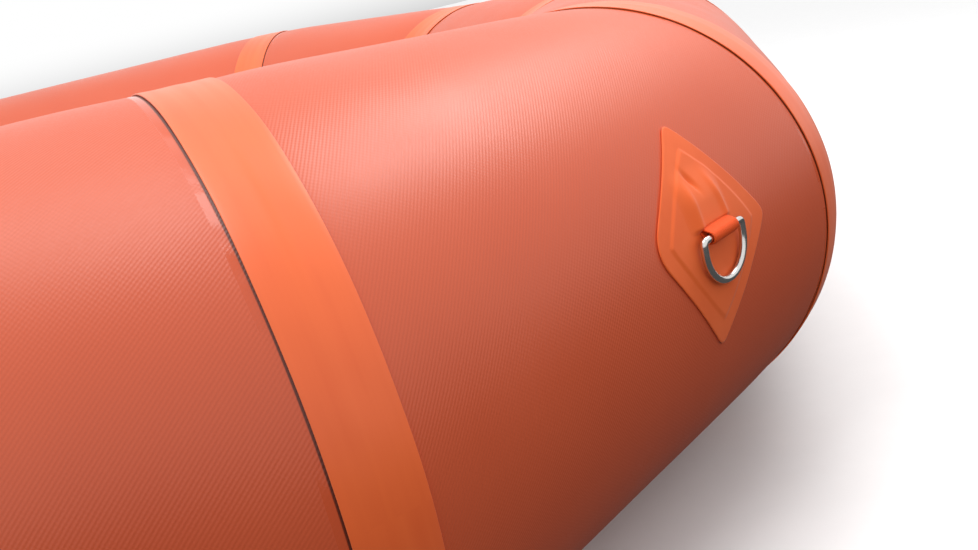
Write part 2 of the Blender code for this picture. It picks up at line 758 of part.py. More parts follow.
def main():
    clear_scene()
    finishes = {
        "hull": material("hull_fabric", FABRIC_ORANGE, 0.45),
        "tape": material("seam_tape_fabric", TAPE_ORANGE, 0.50),
        "baffle": material("baffle_fabric", FABRIC_ORANGE, 0.60),
        "floor": material("floor_fabric", FLOOR_GREY, 0.50),
        "webbing": material("webbing", WEB_ORANGE, 0.85),
        "steel": material("stainless_steel", STEEL, 0.15, 1.0),
        "valve": material("valve_plastic", VALVE_BLACK, 0.45),
        "plunger": material("plunger_plastic", FLOOR_GREY, 0.40),
    }
    build_hull(finishes)
    build_stations(finishes)
    build_inside(finishes)
    build_valves(finishes)


main()
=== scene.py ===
# %% [markdown]
# # An inflatable raft, seam by seam
# The raft is a loop of coated-fabric air tubes, cut on the bias and joined at ten seams. The frame
# below is the finished design: every piece made here takes its place and size from it, and rides
# on the body that carries it. All lengths are metres. X runs to the bow, Y to port, Z up.

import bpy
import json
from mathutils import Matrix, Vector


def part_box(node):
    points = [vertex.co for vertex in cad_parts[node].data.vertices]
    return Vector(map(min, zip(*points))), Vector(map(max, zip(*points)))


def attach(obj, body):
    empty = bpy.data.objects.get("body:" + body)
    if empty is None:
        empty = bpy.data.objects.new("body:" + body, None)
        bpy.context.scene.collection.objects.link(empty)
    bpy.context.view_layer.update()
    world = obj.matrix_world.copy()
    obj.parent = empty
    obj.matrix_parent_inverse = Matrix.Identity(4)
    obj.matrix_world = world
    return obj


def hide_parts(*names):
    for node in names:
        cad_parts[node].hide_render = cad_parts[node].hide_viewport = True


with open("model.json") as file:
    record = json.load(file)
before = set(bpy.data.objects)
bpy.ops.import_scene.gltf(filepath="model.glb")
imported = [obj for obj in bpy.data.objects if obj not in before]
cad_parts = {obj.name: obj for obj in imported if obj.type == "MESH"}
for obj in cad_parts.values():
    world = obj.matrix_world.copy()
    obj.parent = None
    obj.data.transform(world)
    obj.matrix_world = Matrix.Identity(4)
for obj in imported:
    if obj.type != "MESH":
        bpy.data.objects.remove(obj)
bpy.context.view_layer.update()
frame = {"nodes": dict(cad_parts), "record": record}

import json
import math

import bmesh
import bpy
import numpy as np
from mathutils import Matrix, Vector

# %% [markdown]
# ## The hull's plan
# Seen from above, the hull turns 36 degrees at each of ten joints. Five joints make an end, so an
# end's width follows from the length of its four tubes. A solid tube in the frame has 32 flats, so
# the round tube it stands for is a little larger than its box. Each value below is read from a
# box, and the joints follow from them as they do in the design.

# %% Sizes of the hull, read from the frame
TURN = math.radians(36)
MITRE = math.cos(TURN / 2)
FLAT = math.cos(math.pi / 32)


def box_of(node):
    """Lowest and highest corner of a node, as arrays."""
    low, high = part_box(node)
    return np.array(low), np.array(high)


side_low, side_high = box_of("side_tube_starboard")
nose_low, nose_high = box_of("bow_nose_starboard")
TUBE_RADIUS = (side_high[2] - side_low[2]) / 2 / FLAT
NOSE_RADIUS = (nose_high[2] - nose_low[2]) / 2 / FLAT
TUBE_HEIGHT = (side_high[2] + side_low[2]) / 2
HALF_WIDTH = -(side_high[1] + side_low[1]) / 2
END_SEGMENT = HALF_WIDTH / (math.sin(TURN) + math.sin(2 * TURN))
nose_x = sum(box_of("baffle_bow"))[0] / 2
SIDE_LENGTH = 2 * (nose_x - END_SEGMENT * (math.cos(TURN) + math.cos(2 * TURN)))


def loop_joints():
    """Joint places, their headings half way through the turn, and the tube radius there."""
    joints = []
    place = np.array([SIDE_LENGTH / 2, -HALF_WIDTH, TUBE_HEIGHT])
    radii = [TUBE_RADIUS, NOSE_RADIUS, NOSE_RADIUS, NOSE_RADIUS, TUBE_RADIUS] * 2
    for number in range(10):
        after = (number + 1) * TURN
        joints.append((place.copy(), after - TURN / 2, radii[number]))
        length = SIDE_LENGTH if number in (4, 9) else END_SEGMENT
        place = place + length * np.array([math.cos(after), math.sin(after), 0.0])
    return joints


JOINTS = loop_joints()
TUBES = ["bow_corner_starboard", "bow_nose_starboard", "bow_nose_port", "bow_corner_port",
         "side_tube_port", "stern_corner_port", "stern_nose_port", "stern_nose_starboard",
         "stern_corner_starboard", "side_tube_starboard"]
TAPES = ["bow_side_starboard", "bow_corner_starboard", "bow_middle", "bow_corner_port",
         "bow_side_port", "stern_side_port", "stern_corner_port", "stern_middle",
         "stern_corner_starboard", "stern_side_starboard"]
print("tube radius", round(TUBE_RADIUS, 4), "nose", round(NOSE_RADIUS, 4),
      "side", round(SIDE_LENGTH, 4), "segment", round(END_SEGMENT, 4))

# %% [markdown]
# ## Camera, floor and light
# The view looks down along the starboard bow corner from outside, a little above the tube, with
# the camera rolled so that the tube climbs to the right. The camera stands off the seam where the
# side tube meets the bow, so it is placed from that joint. Two soft boxes stand where the tubes
# mirror them into the camera, a broad one fills the rest, and the surround is white above the
# horizon and dim below it, so the undersides fall into shade.

# %% Camera at the starboard bow corner
CAMERA_FROM_SEAM = Vector((0.0941, -0.6037, 0.2227))
CAMERA_HEADING = math.radians(84.81)
CAMERA_TILT = math.radians(-16.76)
CAMERA_ROLL = math.radians(-13.74)
CAMERA_LENS = 36.94


def look_matrix(heading, tilt, roll):
    """Rotation of a camera that looks along heading and tilt, turned by roll about its view."""
    ahead = Vector((math.cos(tilt) * math.cos(heading), math.cos(tilt) * math.sin(heading),
                    math.sin(tilt)))
    right = ahead.cross(Vector((0, 0, 1))).normalized()
    up = right.cross(ahead)
    rolled_right = right * math.cos(roll) + up * math.sin(roll)
    rolled_up = up * math.cos(roll) - right * math.sin(roll)
    return Matrix((rolled_right, rolled_up, -ahead)).transposed()


scene = bpy.context.scene
camera = bpy.data.objects.new("camera", bpy.data.cameras.new("camera"))
camera.data.lens = CAMERA_LENS
camera.data.sensor_width = 36.0
camera.data.clip_start = 0.01
camera.location = Vector(JOINTS[0][0]) + CAMERA_FROM_SEAM
camera.rotation_mode = "QUATERNION"
camera.rotation_quaternion = look_matrix(CAMERA_HEADING, CAMERA_TILT, CAMERA_ROLL).to_quaternion()
scene.collection.objects.link(camera)
scene.camera = camera
scene.view_settings.view_transform = "Standard"
print("camera at", [round(v, 3) for v in camera.location])


# %% Colours and nodes
def linear(code):
    """sRGB hex to linear light: the standard curve on each channel."""
    parts = np.array([int(code[k:k + 2], 16) for k in (1, 3, 5)]) / 255
    low = parts / 12.92
    high = ((parts + 0.055) / 1.055) ** 2.4
    return (*np.where(parts <= 0.04045, low, high), 1.0)


def plug(tree, socket, value):
    """Links a socket to another node's output, or sets it to a value."""
    if isinstance(value, bpy.types.NodeSocket):
        tree.links.new(value, socket)
    else:
        socket.default_value = value


def add_node(tree, kind, settings=None, **links):
    """A node with its settings and its inputs, which go by name, or by number as i0, i1, i2."""
    made = tree.nodes.new("ShaderNode" + kind)
    for key, value in (settings or {}).items():
        setattr(made, key, value)
    for key, value in links.items():
        numbered = key[0] == "i" and key[1:].isdigit()
        plug(tree, made.inputs[int(key[1:]) if numbered else key], value)
    return made


def arithmetic(tree, operation, *values):
    """Output of a Math node on one, two or three values."""
    inputs = {"i%d" % number: value for number, value in enumerate(values)}
    return add_node(tree, "Math", {"operation": operation}, **inputs).outputs[0]


def ranged(tree, value, low, high, to_low=0.0, to_high=1.0):
    """A value moved from one range to another in a straight line, held at both ends."""
    made = add_node(tree, "MapRange", Value=value, i1=low, i2=high, i3=to_low, i4=to_high)
    return made.outputs["Result"]


def noise(tree, place, scale, detail=2.0, **links):
    """Cloudy noise between 0 and 1, with scale blots to the metre where place is in metres."""
    made = add_node(tree, "TexNoise", Vector=place, Scale=scale, Detail=detail, **links)
    return made.outputs["Fac"]


def blended(tree, factor, first, second, data_type="RGBA", blend_type="MIX"):
    """Two colours or two numbers mixed by a factor."""
    made = add_node(tree, "Mix", {"data_type": data_type, "blend_type": blend_type},
                    Factor=factor, A=first, B=second)
    return made.outputs["Result"]


def stretched_cloth(tree, scale=(1.0, 1.0, 1.0)):
    """The cloth's own map, in metres across and along, with each length stretched by a scale."""
    cloth = add_node(tree, "UVMap", {"uv_map": "cloth"}).outputs["UV"]
    return add_node(tree, "Mapping", Vector=cloth, Scale=scale).outputs["Vector"]


def object_place(tree):
    """The point's own coordinates in metres."""
    return add_node(tree, "TexCoord").outputs["Object"]


def new_material(name):
    """An empty node material and its tree."""
    made = bpy.data.materials.new(name)
    made.use_nodes = True
    return made, made.node_tree


def dress(tree, tone, rough, height, strength, depth, levels):
    """Wires colour, roughness and a bump into the Principled shader and sets its other levels."""
    bump = add_node(tree, "Bump", Strength=strength, Distance=depth, Height=height)
    wired = {"Base Color": tone, "Roughness": rough, "Normal": bump.outputs["Normal"], **levels}
    for key, value in wired.items():
        plug(tree, tree.nodes["Principled BSDF"].inputs[key], value)


# %% Floor, surround and lights
# Name, stand and target from the bow's starboard seam, width, depth and watts of each light.
LAMPS = [("key", (-0.27, -0.25, 1.80), (0.0, -0.1, 0.15), 0.9, 0.8, 10.0),
         ("bow", (1.06, 0.60, 1.45), (0.15, 0.0, 0.15), 1.0, 0.8, 14.0),
         ("top", (-0.9, 0.6, 2.6), (-0.6, 0.3, 0.0), 2.2, 1.6, 10.0)]


def surround():
    """A white surround whose brightness follows height: white above the horizon, dim below it, as
    over a dark studio floor, so that the raft's undersides fall into shade."""
    world = bpy.data.worlds.new("studio")
    scene.world = world
    world.use_nodes = True
    tree = world.node_tree
    way = add_node(tree, "TexCoord").outputs["Generated"]
    height = add_node(tree, "SeparateXYZ", Vector=way).outputs["Z"]
    rise = add_node(tree, "MapRange", {"interpolation_type": "SMOOTHSTEP"},
                    Value=height, i1=-0.10, i2=0.02, i3=0.09, i4=1.0)
    tree.links.new(rise.outputs["Result"], tree.nodes["Background"].inputs["Color"])
    tree.nodes["Background"].inputs["Strength"].default_value = 1.0


def studio():
    """A pale floor under the raft and soft rectangular lights over its starboard bow."""
    mesh = bpy.data.meshes.new("studio_floor")
    reach, depth = 14.0, -0.0005
    corners = [(-reach, -reach, depth), (reach, -reach, depth), (reach, reach, depth),
               (-reach, reach, depth)]
    mesh.from_pydata(corners, [], [(0, 1, 2, 3)])
    floor = bpy.data.objects.new("studio_floor", mesh)
    floor.visible_diffuse = False
    floor.visible_glossy = False
    scene.collection.objects.link(floor)
    paper, tree = new_material("studio paper")
    shader = tree.nodes["Principled BSDF"]
    shade = ranged(tree, noise(tree, object_place(tree), 30.0), 0.0, 1.0, 0.90, 0.93)
    tree.links.new(shade, shader.inputs["Base Color"])
    shader.inputs["Roughness"].default_value = 0.9
    mesh.materials.append(paper)
    for name, stand, target, width, depth, power in LAMPS:
        lamp = bpy.data.lights.new(name, "AREA")
        lamp.shape = "RECTANGLE"
        lamp.size, lamp.size_y, lamp.energy = width, depth, power
        holder = bpy.data.objects.new(name, lamp)
        holder.location = Vector(JOINTS[0][0]) + Vector(stand)
        holder.rotation_mode = "QUATERNION"
        holder.rotation_quaternion = (Vector(target) - Vector(stand)).to_track_quat("-Z", "Y")
        scene.collection.objects.link(holder)


surround()
studio()
print("lights", [lamp[0] for lamp in LAMPS])

# %% [markdown]
# ## The skin of the hull
# Air pressure draws coated fabric round, so a tube is a circle swept along a straight line. Two
# tubes meet on a mitre plane, but the real fabric can't crease: over a few centimetres it bends
# round the joint. Each line along the tubes is therefore a straight run that leaves and enters the
# joint on a parabola. The tape also stops the fabric from swelling at the seam, which leaves a
# slight waist there. One function gives a point at any share of a tube, angle and height above
# the fabric, and everything glued on the hull uses it too.

# %% One function for the hull's surface
BEND = 0.030                # reach of the soft bend on each side of a joint
WAIST = 0.0022              # how far the seam draws the tube in
WAIST_REACH = 0.045


def ring_at(joint, angle):
    """Points of a joint's ring: its centre plus radius times outward and upward unit steps."""
    place, heading, radius = JOINTS[joint % 10]
    outward = np.array([math.sin(heading), -math.cos(heading), 0.0]) / MITRE
    up = np.array([0.0, 0.0, 1.0])
    return place + radius * (np.cos(angle)[..., None] * outward + np.sin(angle)[..., None] * up)


def line_length(joint, angle):
    """Length of the fabric line at an angle, from a joint to the next."""
    return np.linalg.norm(ring_at(joint + 1, angle) - ring_at(joint, angle), axis=-1)


def parabola(q, start, middle, end):
    """Point at share q of the parabola that leaves start and enters end, both toward middle."""
    return (1 - q) ** 2 * start + 2 * q * (1 - q) * middle + q ** 2 * end


def hull_skin(joint, share, angle, lift=0.0):
    """Point on the hull: straight line between two rings, a parabola within BEND of either, moved
    along the tube's radial direction by lift, less the waist at the seams."""
    share, angle, lift = np.broadcast_arrays(np.asarray(share, float), np.asarray(angle, float),
                                             np.asarray(lift, float))
    before, start, end, after = (ring_at(joint + k, angle) for k in (-1, 0, 1, 2))
    length = np.linalg.norm(end - start, axis=-1)[..., None]
    along = (end - start) / length
    back = (start - before) / np.linalg.norm(start - before, axis=-1)[..., None]
    ahead = (after - end) / np.linalg.norm(after - end, axis=-1)[..., None]
    gone = share[..., None] * length
    left = length - gone
    enter = parabola(np.clip((gone + BEND) / (2 * BEND), 0, 1),
                     start - back * BEND, start, start + along * BEND)
    leave = parabola(np.clip((left + BEND) / (2 * BEND), 0, 1),
                     end + ahead * BEND, end, end - along * BEND)
    point = np.where(gone < BEND, enter, np.where(left < BEND, leave, start + along * gone))
    turned = np.clip(1 - left[..., 0] / BEND, 0, 1) - np.clip(1 - gone[..., 0] / BEND, 0, 1)
    heading = (joint % 10 + 1) * TURN + turned * TURN / 2
    normal = np.stack([np.sin(heading) * np.cos(angle), -np.cos(heading) * np.cos(angle),
                       np.sin(angle)], axis=-1)
    waist = np.exp(-(gone / WAIST_REACH) ** 2) + np.exp(-(left / WAIST_REACH) ** 2)
    return point + normal * (lift[..., None] - WAIST * waist)


# %% Turn a grid of points into a mesh
def grid_mesh(name, points, cloth=None, wrap_rows=False, wrap_columns=False, extra=None):
    """Quads between the rows and columns of a grid. cloth is a grid of (across, along) lengths in
    metres, one row or column longer where the grid wraps, and becomes the UV map "cloth"."""
    rows, columns = points.shape[:2]
    row_end = rows if wrap_rows else rows - 1
    column_end = columns if wrap_columns else columns - 1
    i, j = np.meshgrid(np.arange(row_end), np.arange(column_end), indexing="ij")
    here, below = i * columns, (i + 1) % rows * columns
    after = (j + 1) % columns
    faces = np.stack([here + j, here + after, below + after, below + j], axis=-1).reshape(-1, 4)
    mesh = bpy.data.meshes.new(name)
    mesh.vertices.add(rows * columns)
    mesh.vertices.foreach_set("co", points.reshape(-1))
    mesh.loops.add(faces.size)
    mesh.loops.foreach_set("vertex_index", faces.reshape(-1))
    mesh.polygons.add(len(faces))
    mesh.polygons.foreach_set("loop_start", np.arange(len(faces)) * 4)
    mesh.polygons.foreach_set("loop_total", np.full(len(faces), 4))
    mesh.polygons.foreach_set("use_smooth", np.ones(len(faces), bool))
    mesh.update(calc_edges=True)
    if cloth is not None:
        corners = [cloth[i, j], cloth[i, j + 1], cloth[i + 1, j + 1], cloth[i + 1, j]]
        layer = mesh.uv_layers.new(name="cloth")
        layer.data.foreach_set("uv", np.stack(corners, axis=2).reshape(-1))
    for key, values in (extra or {}).items():
        attribute = mesh.attributes.new(key, "FLOAT", "POINT")
        attribute.data.foreach_set("value", values.reshape(-1).astype(float))
    mesh.validate()
    return mesh


def crossed(across, along):
    """A grid of (across, along) lengths for the cloth map, from a row and a column of lengths."""
    return np.stack(np.broadcast_arrays(across[None, :], along[:, None]), axis=-1)


def place_piece(mesh, material, body, nodes):
    """Makes a mesh a piece with its finish, says which body carries it and what it stands for,
    and returns its number of faces."""
    piece = bpy.data.objects.new(mesh.name, mesh)
    mesh.materials.append(material)
    scene.collection.objects.link(piece)
    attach(piece, body)
    if nodes:
        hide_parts(*nodes)
    return len(mesh.polygons)


def soft_noise(u, v, seed, size):
    """A gentle unevenness between -1 and 1: eight sine waves of random direction and phase."""
    draw = np.random.default_rng(seed)
    total = np.zeros(np.broadcast(u, v).shape)
    for _ in range(8):
        turn = draw.uniform(0, 2 * math.pi)
        wave = 2 * math.pi / (size * draw.uniform(0.7, 1.6))
        total = total + np.sin(wave * (u * math.cos(turn) + v * math.sin(turn)) + draw.uniform(0, 6.3))
    return total / 8


# %% [markdown]
# ## Hull fabric: PVC-coated polyester
# The hull is polyester cloth, about seven threads to the centimetre, with PVC knifed and pressed
# over both faces. The coating fills the cloth but doesn't hide it: each crossing of threads leaves
# a bump about 1.5 mm across, in a chequer because every other crossing has the other thread on
# top. PVC gives a satin shine, with fine specks and broad smears in its roughness. The weave
# follows the cloth's own UV map, whose units are metres, so one number sets the real thread
# spacing.

# %% Make the coated fabric
THREAD = 0.00147
HULL_HEX = "#D15B36"
HULL_SHADE_HEX = "#C8512D"
# A painted shadow: colour and band of a dark line on the hull, in the corner where the tube goes under
# a seam tape's edge.
SEAM_SHADOW_HEX = "#5E2413"
SEAM_SHADOW_BAND = (0.0215, 0.0236, 0.0006)    # nearest and farthest from the seam, and its soft edge
GLUE_BAND = (0.0242, 0.0280, 0.0008)


def weave_height(tree, pitch):
    """Chequer bumps, the sine of the across length times that of the along length, plus a line
    from corner to corner of them, the sine of their difference: the thread that leads."""
    cloth = add_node(tree, "UVMap", {"uv_map": "cloth"}).outputs["UV"]
    split = add_node(tree, "SeparateXYZ", Vector=cloth)
    across, along = split.outputs["X"], split.outputs["Y"]
    slant = arithmetic(tree, "SUBTRACT", along, across)
    waves = [arithmetic(tree, "SINE", arithmetic(tree, "MULTIPLY", run, math.pi / pitch))
             for run in (across, along, slant)]
    chequer = arithmetic(tree, "MULTIPLY", waves[0], waves[1])
    lead = arithmetic(tree, "MULTIPLY", waves[2], 0.5)
    return arithmetic(tree, "MULTIPLY_ADD", chequer, 0.4, lead)


def seam_band(tree, near, far, soft):
    """1 between two distances from the seam ahead and 0 elsewhere, from the "seam" attribute."""
    left = add_node(tree, "Attribute", {"attribute_name": "seam"}).outputs["Fac"]
    return arithmetic(tree, "MULTIPLY", ranged(tree, left, near - soft, near),
                      ranged(tree, left, far, far + soft, 1.0, 0.0))


def coated_fabric(name, colour, shade, bump, rough_low, rough_high, seam_shade_and_glue=False):
    """Satin PVC over a weave. Colour drifts a little over hand-sized patches, the weave's valleys
    are darkened by their depth as painted shade, and fine specks and broad smears change the
    roughness. On a glued hull, a painted shadow darkens the corner where the tube goes under the
    seam tape ahead, and glue shines next to it."""
    made, tree = new_material(name)
    place, height = object_place(tree), weave_height(tree, THREAD)
    speck, smear = noise(tree, place, 700.0), noise(tree, place, 14.0, 4.0)
    tone = blended(tree, noise(tree, place, 9.0, 3.0), linear(colour), linear(shade))
    # Painted shade: the tone is darkened in the weave's valleys by their depth, and lifted a little on
    # the crests.
    tone = blended(tree, 1.0, tone, ranged(tree, height, -1.0, 1.0, 0.965, 1.01),
                   blend_type="MULTIPLY")
    rough = ranged(tree, arithmetic(tree, "MULTIPLY", speck, smear), 0.1, 0.5, rough_low, rough_high)
    if seam_shade_and_glue:
        # Painted shade: the band beside the tape's edge is darkened toward the shadow colour.
        tone = blended(tree, seam_band(tree, *SEAM_SHADOW_BAND), tone, linear(SEAM_SHADOW_HEX))
        broken = ranged(tree, noise(tree, place, 22.0), 0.44, 0.52)
        glue = arithmetic(tree, "MULTIPLY", seam_band(tree, *GLUE_BAND), broken)
        rough = blended(tree, glue, rough, 0.10, data_type="FLOAT")
        height = blended(tree, glue, height, 0.8, data_type="FLOAT")
    height = arithmetic(tree, "MULTIPLY_ADD", speck, 0.25, height)
    dress(tree, tone, rough, height, 1.0, bump, {"IOR": 1.50})
    return made


hull_fabric = coated_fabric("PVC-coated polyester, hull", HULL_HEX, HULL_SHADE_HEX,
                            0.000050, 0.34, 0.46, seam_shade_and_glue=True)
print("hull fabric: thread spacing", THREAD * 1000, "mm")

# %% [markdown]
# ## The ten hull tubes
# Each tube is a panel rolled round and closed with a lap seam underneath, so the grid's own seam
# runs there. The cloth's length is measured along the tube's axis and its width round the tube, as
# the panel was cut. On the inside of each bend there is more cloth than room, which puckers a
# little beside the seam.

# %% Make the hull tubes
AROUND = 216
SEAM_ANGLE = math.radians(-110)


def along_shares(joint):
    """Shares of a tube's length, closer together near both joints: even steps less a sine."""
    count, crowding = (150, 0.10) if joint in (4, 9) else (64, 0.06)
    even = np.linspace(0, 1, count)
    return even - crowding * np.sin(2 * math.pi * even) / math.pi


def radius_at(joint, share):
    """Radius of a tube at a share of its length, between the radii at its two joints."""
    return JOINTS[joint][2] * (1 - share) + JOINTS[(joint + 1) % 10][2] * share


def pucker(gone, angle):
    """Short folds on the inside of a bend: a cosine round the tube that fades away from it."""
    inside = np.exp(-((np.abs(angle) - math.pi) / 0.55) ** 2)
    return 0.0011 * inside * np.cos(angle * 34) * np.exp(-(gone / 0.035) ** 2)


def hull_tube(joint):
    """A tube's outer skin between two mitres, with slight unevenness in the fabric."""
    share, angle = np.meshgrid(along_shares(joint),
                               SEAM_ANGLE + np.linspace(0, 2 * math.pi, AROUND + 1), indexing="ij")
    length = line_length(joint, angle)
    gone = share * length
    left = length - gone
    turned = (angle + math.pi) % (2 * math.pi) - math.pi
    uneven = 0.00035 * soft_noise(gone, angle * TUBE_RADIUS, 7 + joint, 0.16)
    fade = 1 - np.exp(-(np.minimum(gone, left) / 0.03) ** 2)
    lift = uneven * fade + pucker(gone, turned) + pucker(left, turned)
    lift[:, -1] = lift[:, 0]
    points = hull_skin(joint, share, angle, lift)
    heading = (joint + 1) * TURN
    axis = np.array([math.cos(heading), math.sin(heading), 0.0])
    axial = (points - JOINTS[joint][0]) @ axis
    cloth = np.stack([(angle - SEAM_ANGLE) * radius_at(joint, share), axial], axis=-1)
    name = TUBES[joint]
    mesh = grid_mesh("skin_" + name, points[:, :-1], cloth, wrap_columns=True,
                     extra={"seam": left[:, :-1]})
    mesh.flip_normals()
    return place_piece(mesh, hull_fabric, "raft", [name])


print("hull quads", sum(hull_tube(joint) for joint in range(10)))

# %% [markdown]
# ## Seam tape: smooth PVC over the joint
# A seam is closed with a 45 mm band of a lighter, softer PVC tape, rolled down over the joint
# after both cut edges are glued. It has no weave: the eye sees a smooth satin band with faint
# lengthwise streaks from calendering. The band is a small closed profile carried once round the
# joint. Its edges wander a fraction of a millimetre, as a hand-laid tape does, and it rises a
# little over the cut edges below it.

# %% Make the tape material
TAPE_HEX = "#F06A30"
TAPE_SHADE_HEX = "#E75F27"
PATCH_HEX = "#F0692A"
PATCH_SHADE_HEX = "#E65E22"


def smooth_pvc(name, colour, shade, streak_scale, rough_low, rough_high, levels):
    """Satin PVC: slow drift in colour, streaks along the band and a fine matte dust."""
    made, tree = new_material(name)
    place = object_place(tree)
    streak = noise(tree, stretched_cloth(tree, streak_scale), 1.0, 3.0)
    drift = arithmetic(tree, "MULTIPLY", streak, noise(tree, place, 12.0))
    tone = blended(tree, ranged(tree, drift, 0.12, 0.40), linear(colour), linear(shade))
    rough = ranged(tree, streak, 0.3, 0.7, rough_low, rough_high)
    height = arithmetic(tree, "MULTIPLY_ADD", noise(tree, place, 900.0, 1.0), 0.3, streak)
    dress(tree, tone, rough, height, 0.5, 0.00006, {"IOR": 1.50, "Sheen Weight": 0.12, **levels})
    return made


seam_pvc = smooth_pvc("Calendered PVC, seam tape", TAPE_HEX, TAPE_SHADE_HEX, (3.0, 90.0, 1.0),
                      0.36, 0.44, {})
patch_pvc = smooth_pvc("Calendered PVC, patch", PATCH_HEX, PATCH_SHADE_HEX, (25.0, 25.0, 1.0),
                       0.48, 0.58, {"Specular IOR Level": 0.30})
print("tape and patch", TAPE_HEX, PATCH_HEX)

# %% Make the ten seam tapes
TAPE_HALF = 0.0225
TAPE_TOP = 0.0013
TAPE_AROUND = 320


def seam_point(joint, across, angle, lift):
    """Point beside a joint: across metres along the tube after it, or before it if negative."""
    after = np.clip(across, 0, None) / line_length(joint, angle)
    before = 1 + np.clip(across, None, 0) / line_length(joint - 1, angle)
    return np.where((across >= 0)[..., None], hull_skin(joint, after, angle, lift),
                    hull_skin(joint - 1, before, angle, lift))


def tape_profile():
    """The band's closed cross-section as (across, height): rounded top edges, foot in the hull."""
    turn = np.linspace(0, math.pi / 2, 5)
    corner = 0.0004
    rise = np.stack([-TAPE_HALF + corner - corner * np.cos(turn),
                     TAPE_TOP - corner + corner * np.sin(turn)], axis=1)
    middle = np.linspace(-TAPE_HALF + 0.003, TAPE_HALF - 0.003, 23)
    top = np.stack([middle, TAPE_TOP + 0.00035 * np.exp(-(middle / 0.006) ** 2)], axis=1)
    fall = rise[::-1] * np.array([-1, 1])
    inset, depth = TAPE_HALF - 0.001, -0.0012
    foot = np.array([[TAPE_HALF, 0.0004], [inset, 0.0001], [inset, depth], [0.0, depth],
                     [-inset, depth], [-inset, 0.0001], [-TAPE_HALF, 0.0004]])
    return np.concatenate([rise, top, fall, foot])


def seam_tape(joint):
    """The profile carried round a joint. Both edges wander by up to half a millimetre."""
    profile = tape_profile()
    angle = np.linspace(0, 2 * math.pi, TAPE_AROUND + 1)
    ring, around = np.meshgrid(np.arange(len(profile)), angle, indexing="ij")
    flat, height = profile[ring][..., 0], profile[ring][..., 1]
    arc = around * TUBE_RADIUS
    u, v = 0.2 * np.cos(around), 0.2 * np.sin(around)
    wander = 0.0004 * soft_noise(u, v, 60 + joint, 0.12)
    swell = 0.0002 * soft_noise(u, v + flat, 80 + joint, 0.05)
    across = flat + wander * np.sign(flat)
    lift = height + swell * (height > 0.001)
    points = seam_point(joint, across, around, lift)
    points[:, -1] = points[:, 0]
    travel = np.concatenate([[0], np.cumsum(np.linalg.norm(np.diff(profile, axis=0), axis=1)),
                             [4 * TAPE_HALF]])
    cloth = np.stack([np.concatenate([arc, arc[:1]]),
                      np.broadcast_to(travel[:, None], (len(profile) + 1, len(angle)))], axis=-1)
    name = "tape_" + TAPES[joint]
    mesh = grid_mesh("band_" + name, points[:, :-1][::-1], cloth[::-1], wrap_rows=True,
                     wrap_columns=True)
    return place_piece(mesh, seam_pvc, "raft", [name])


print("tape quads", sum(seam_tape(joint) for joint in range(10)))

# %% [markdown]
# ## D-ring stations
# Each station is a diamond patch of the tape's PVC, welded down over a folded strap that holds a
# steel D. The patch shows what is under it: a first, smaller diamond of fabric, and the two tails
# of the strap, which lift the patch into a tent with sharp creases above the mouth where the
# strap comes out. The patch is drawn in its own flat lengths, along the tube and round it, and
# laid on the hull by the same function as the skin.

# %% Where the stations are
STATIONS = {"bow_starboard": 0, "bow_port": 3, "side_port": 4, "stern_port": 5,
            "stern_starboard": 8, "side_starboard": 9}
MOVES = {joint["name"]: joint for joint in frame["record"]["behaviour"]["joints"]}
BAR_HEIGHT = 0.0080
side_bar = np.array(MOVES["ring_side_starboard_swing"]["pos_m"])
STATION_ANGLE = math.asin((side_bar[2] - TUBE_HEIGHT) / (TUBE_RADIUS + BAR_HEIGHT))


def station_place(name):
    """Share of the tube's length at which the ring's bar stands, from the bar's own position."""
    joint = STATIONS[name]
    bar = np.array(MOVES["ring_" + name + "_swing"]["pos_m"])
    ends = [ring_at(joint + k, np.array(STATION_ANGLE)) for k in (0, 1)]
    return float((bar - ends[0]) @ (ends[1] - ends[0]) / np.sum((ends[1] - ends[0]) ** 2))


def station_map(name):
    """Turns (along, around, above) lengths at a station into points on the hull."""
    joint, place = STATIONS[name], station_place(name)
    length = line_length(joint, np.array(STATION_ANGLE))
    radius = radius_at(joint, place)

    def to_points(along, around, above):
        return hull_skin(joint, place + along / length, STATION_ANGLE + around / radius, above)

    return to_points


print("station angle", round(math.degrees(STATION_ANGLE), 2))
print("stations", {name: round(station_place(name), 3) for name in STATIONS})

# %% Shape of the patch
PATCH_HALF_AROUND = 0.075
PATCH_HALF_ALONG = 0.063
PATCH_TURN = math.radians(-6)       # hand-laid, a little off the tube's own direction
STRAP_HALF = 0.015
STRAP_TAIL = 0.030


def diamond_edge(turn):
    """Distance to the diamond's edge in a direction: the inverse of a power sum of its four sides.
    The lower the power, the rounder the corner, so the corner at minus along is the roundest."""
    power = 17 - 10.5 * np.clip(-np.cos(turn), 0, 1) ** 4
    total = 0.0
    for side_along, side_around in ((1, 1), (-1, 1), (-1, -1), (1, -1)):
        side = (side_along * np.cos(turn) / PATCH_HALF_ALONG
                + side_around * np.sin(turn) / PATCH_HALF_AROUND)
        total = total + np.clip(side, 1e-6, None) ** power
    return total ** (-1 / power)


def smooth_step(x):
    """Rises from 0 to 1 between 0 and 1, level at both ends."""
    x = np.clip(x, 0, 1)
    return x * x * (3 - 2 * x)


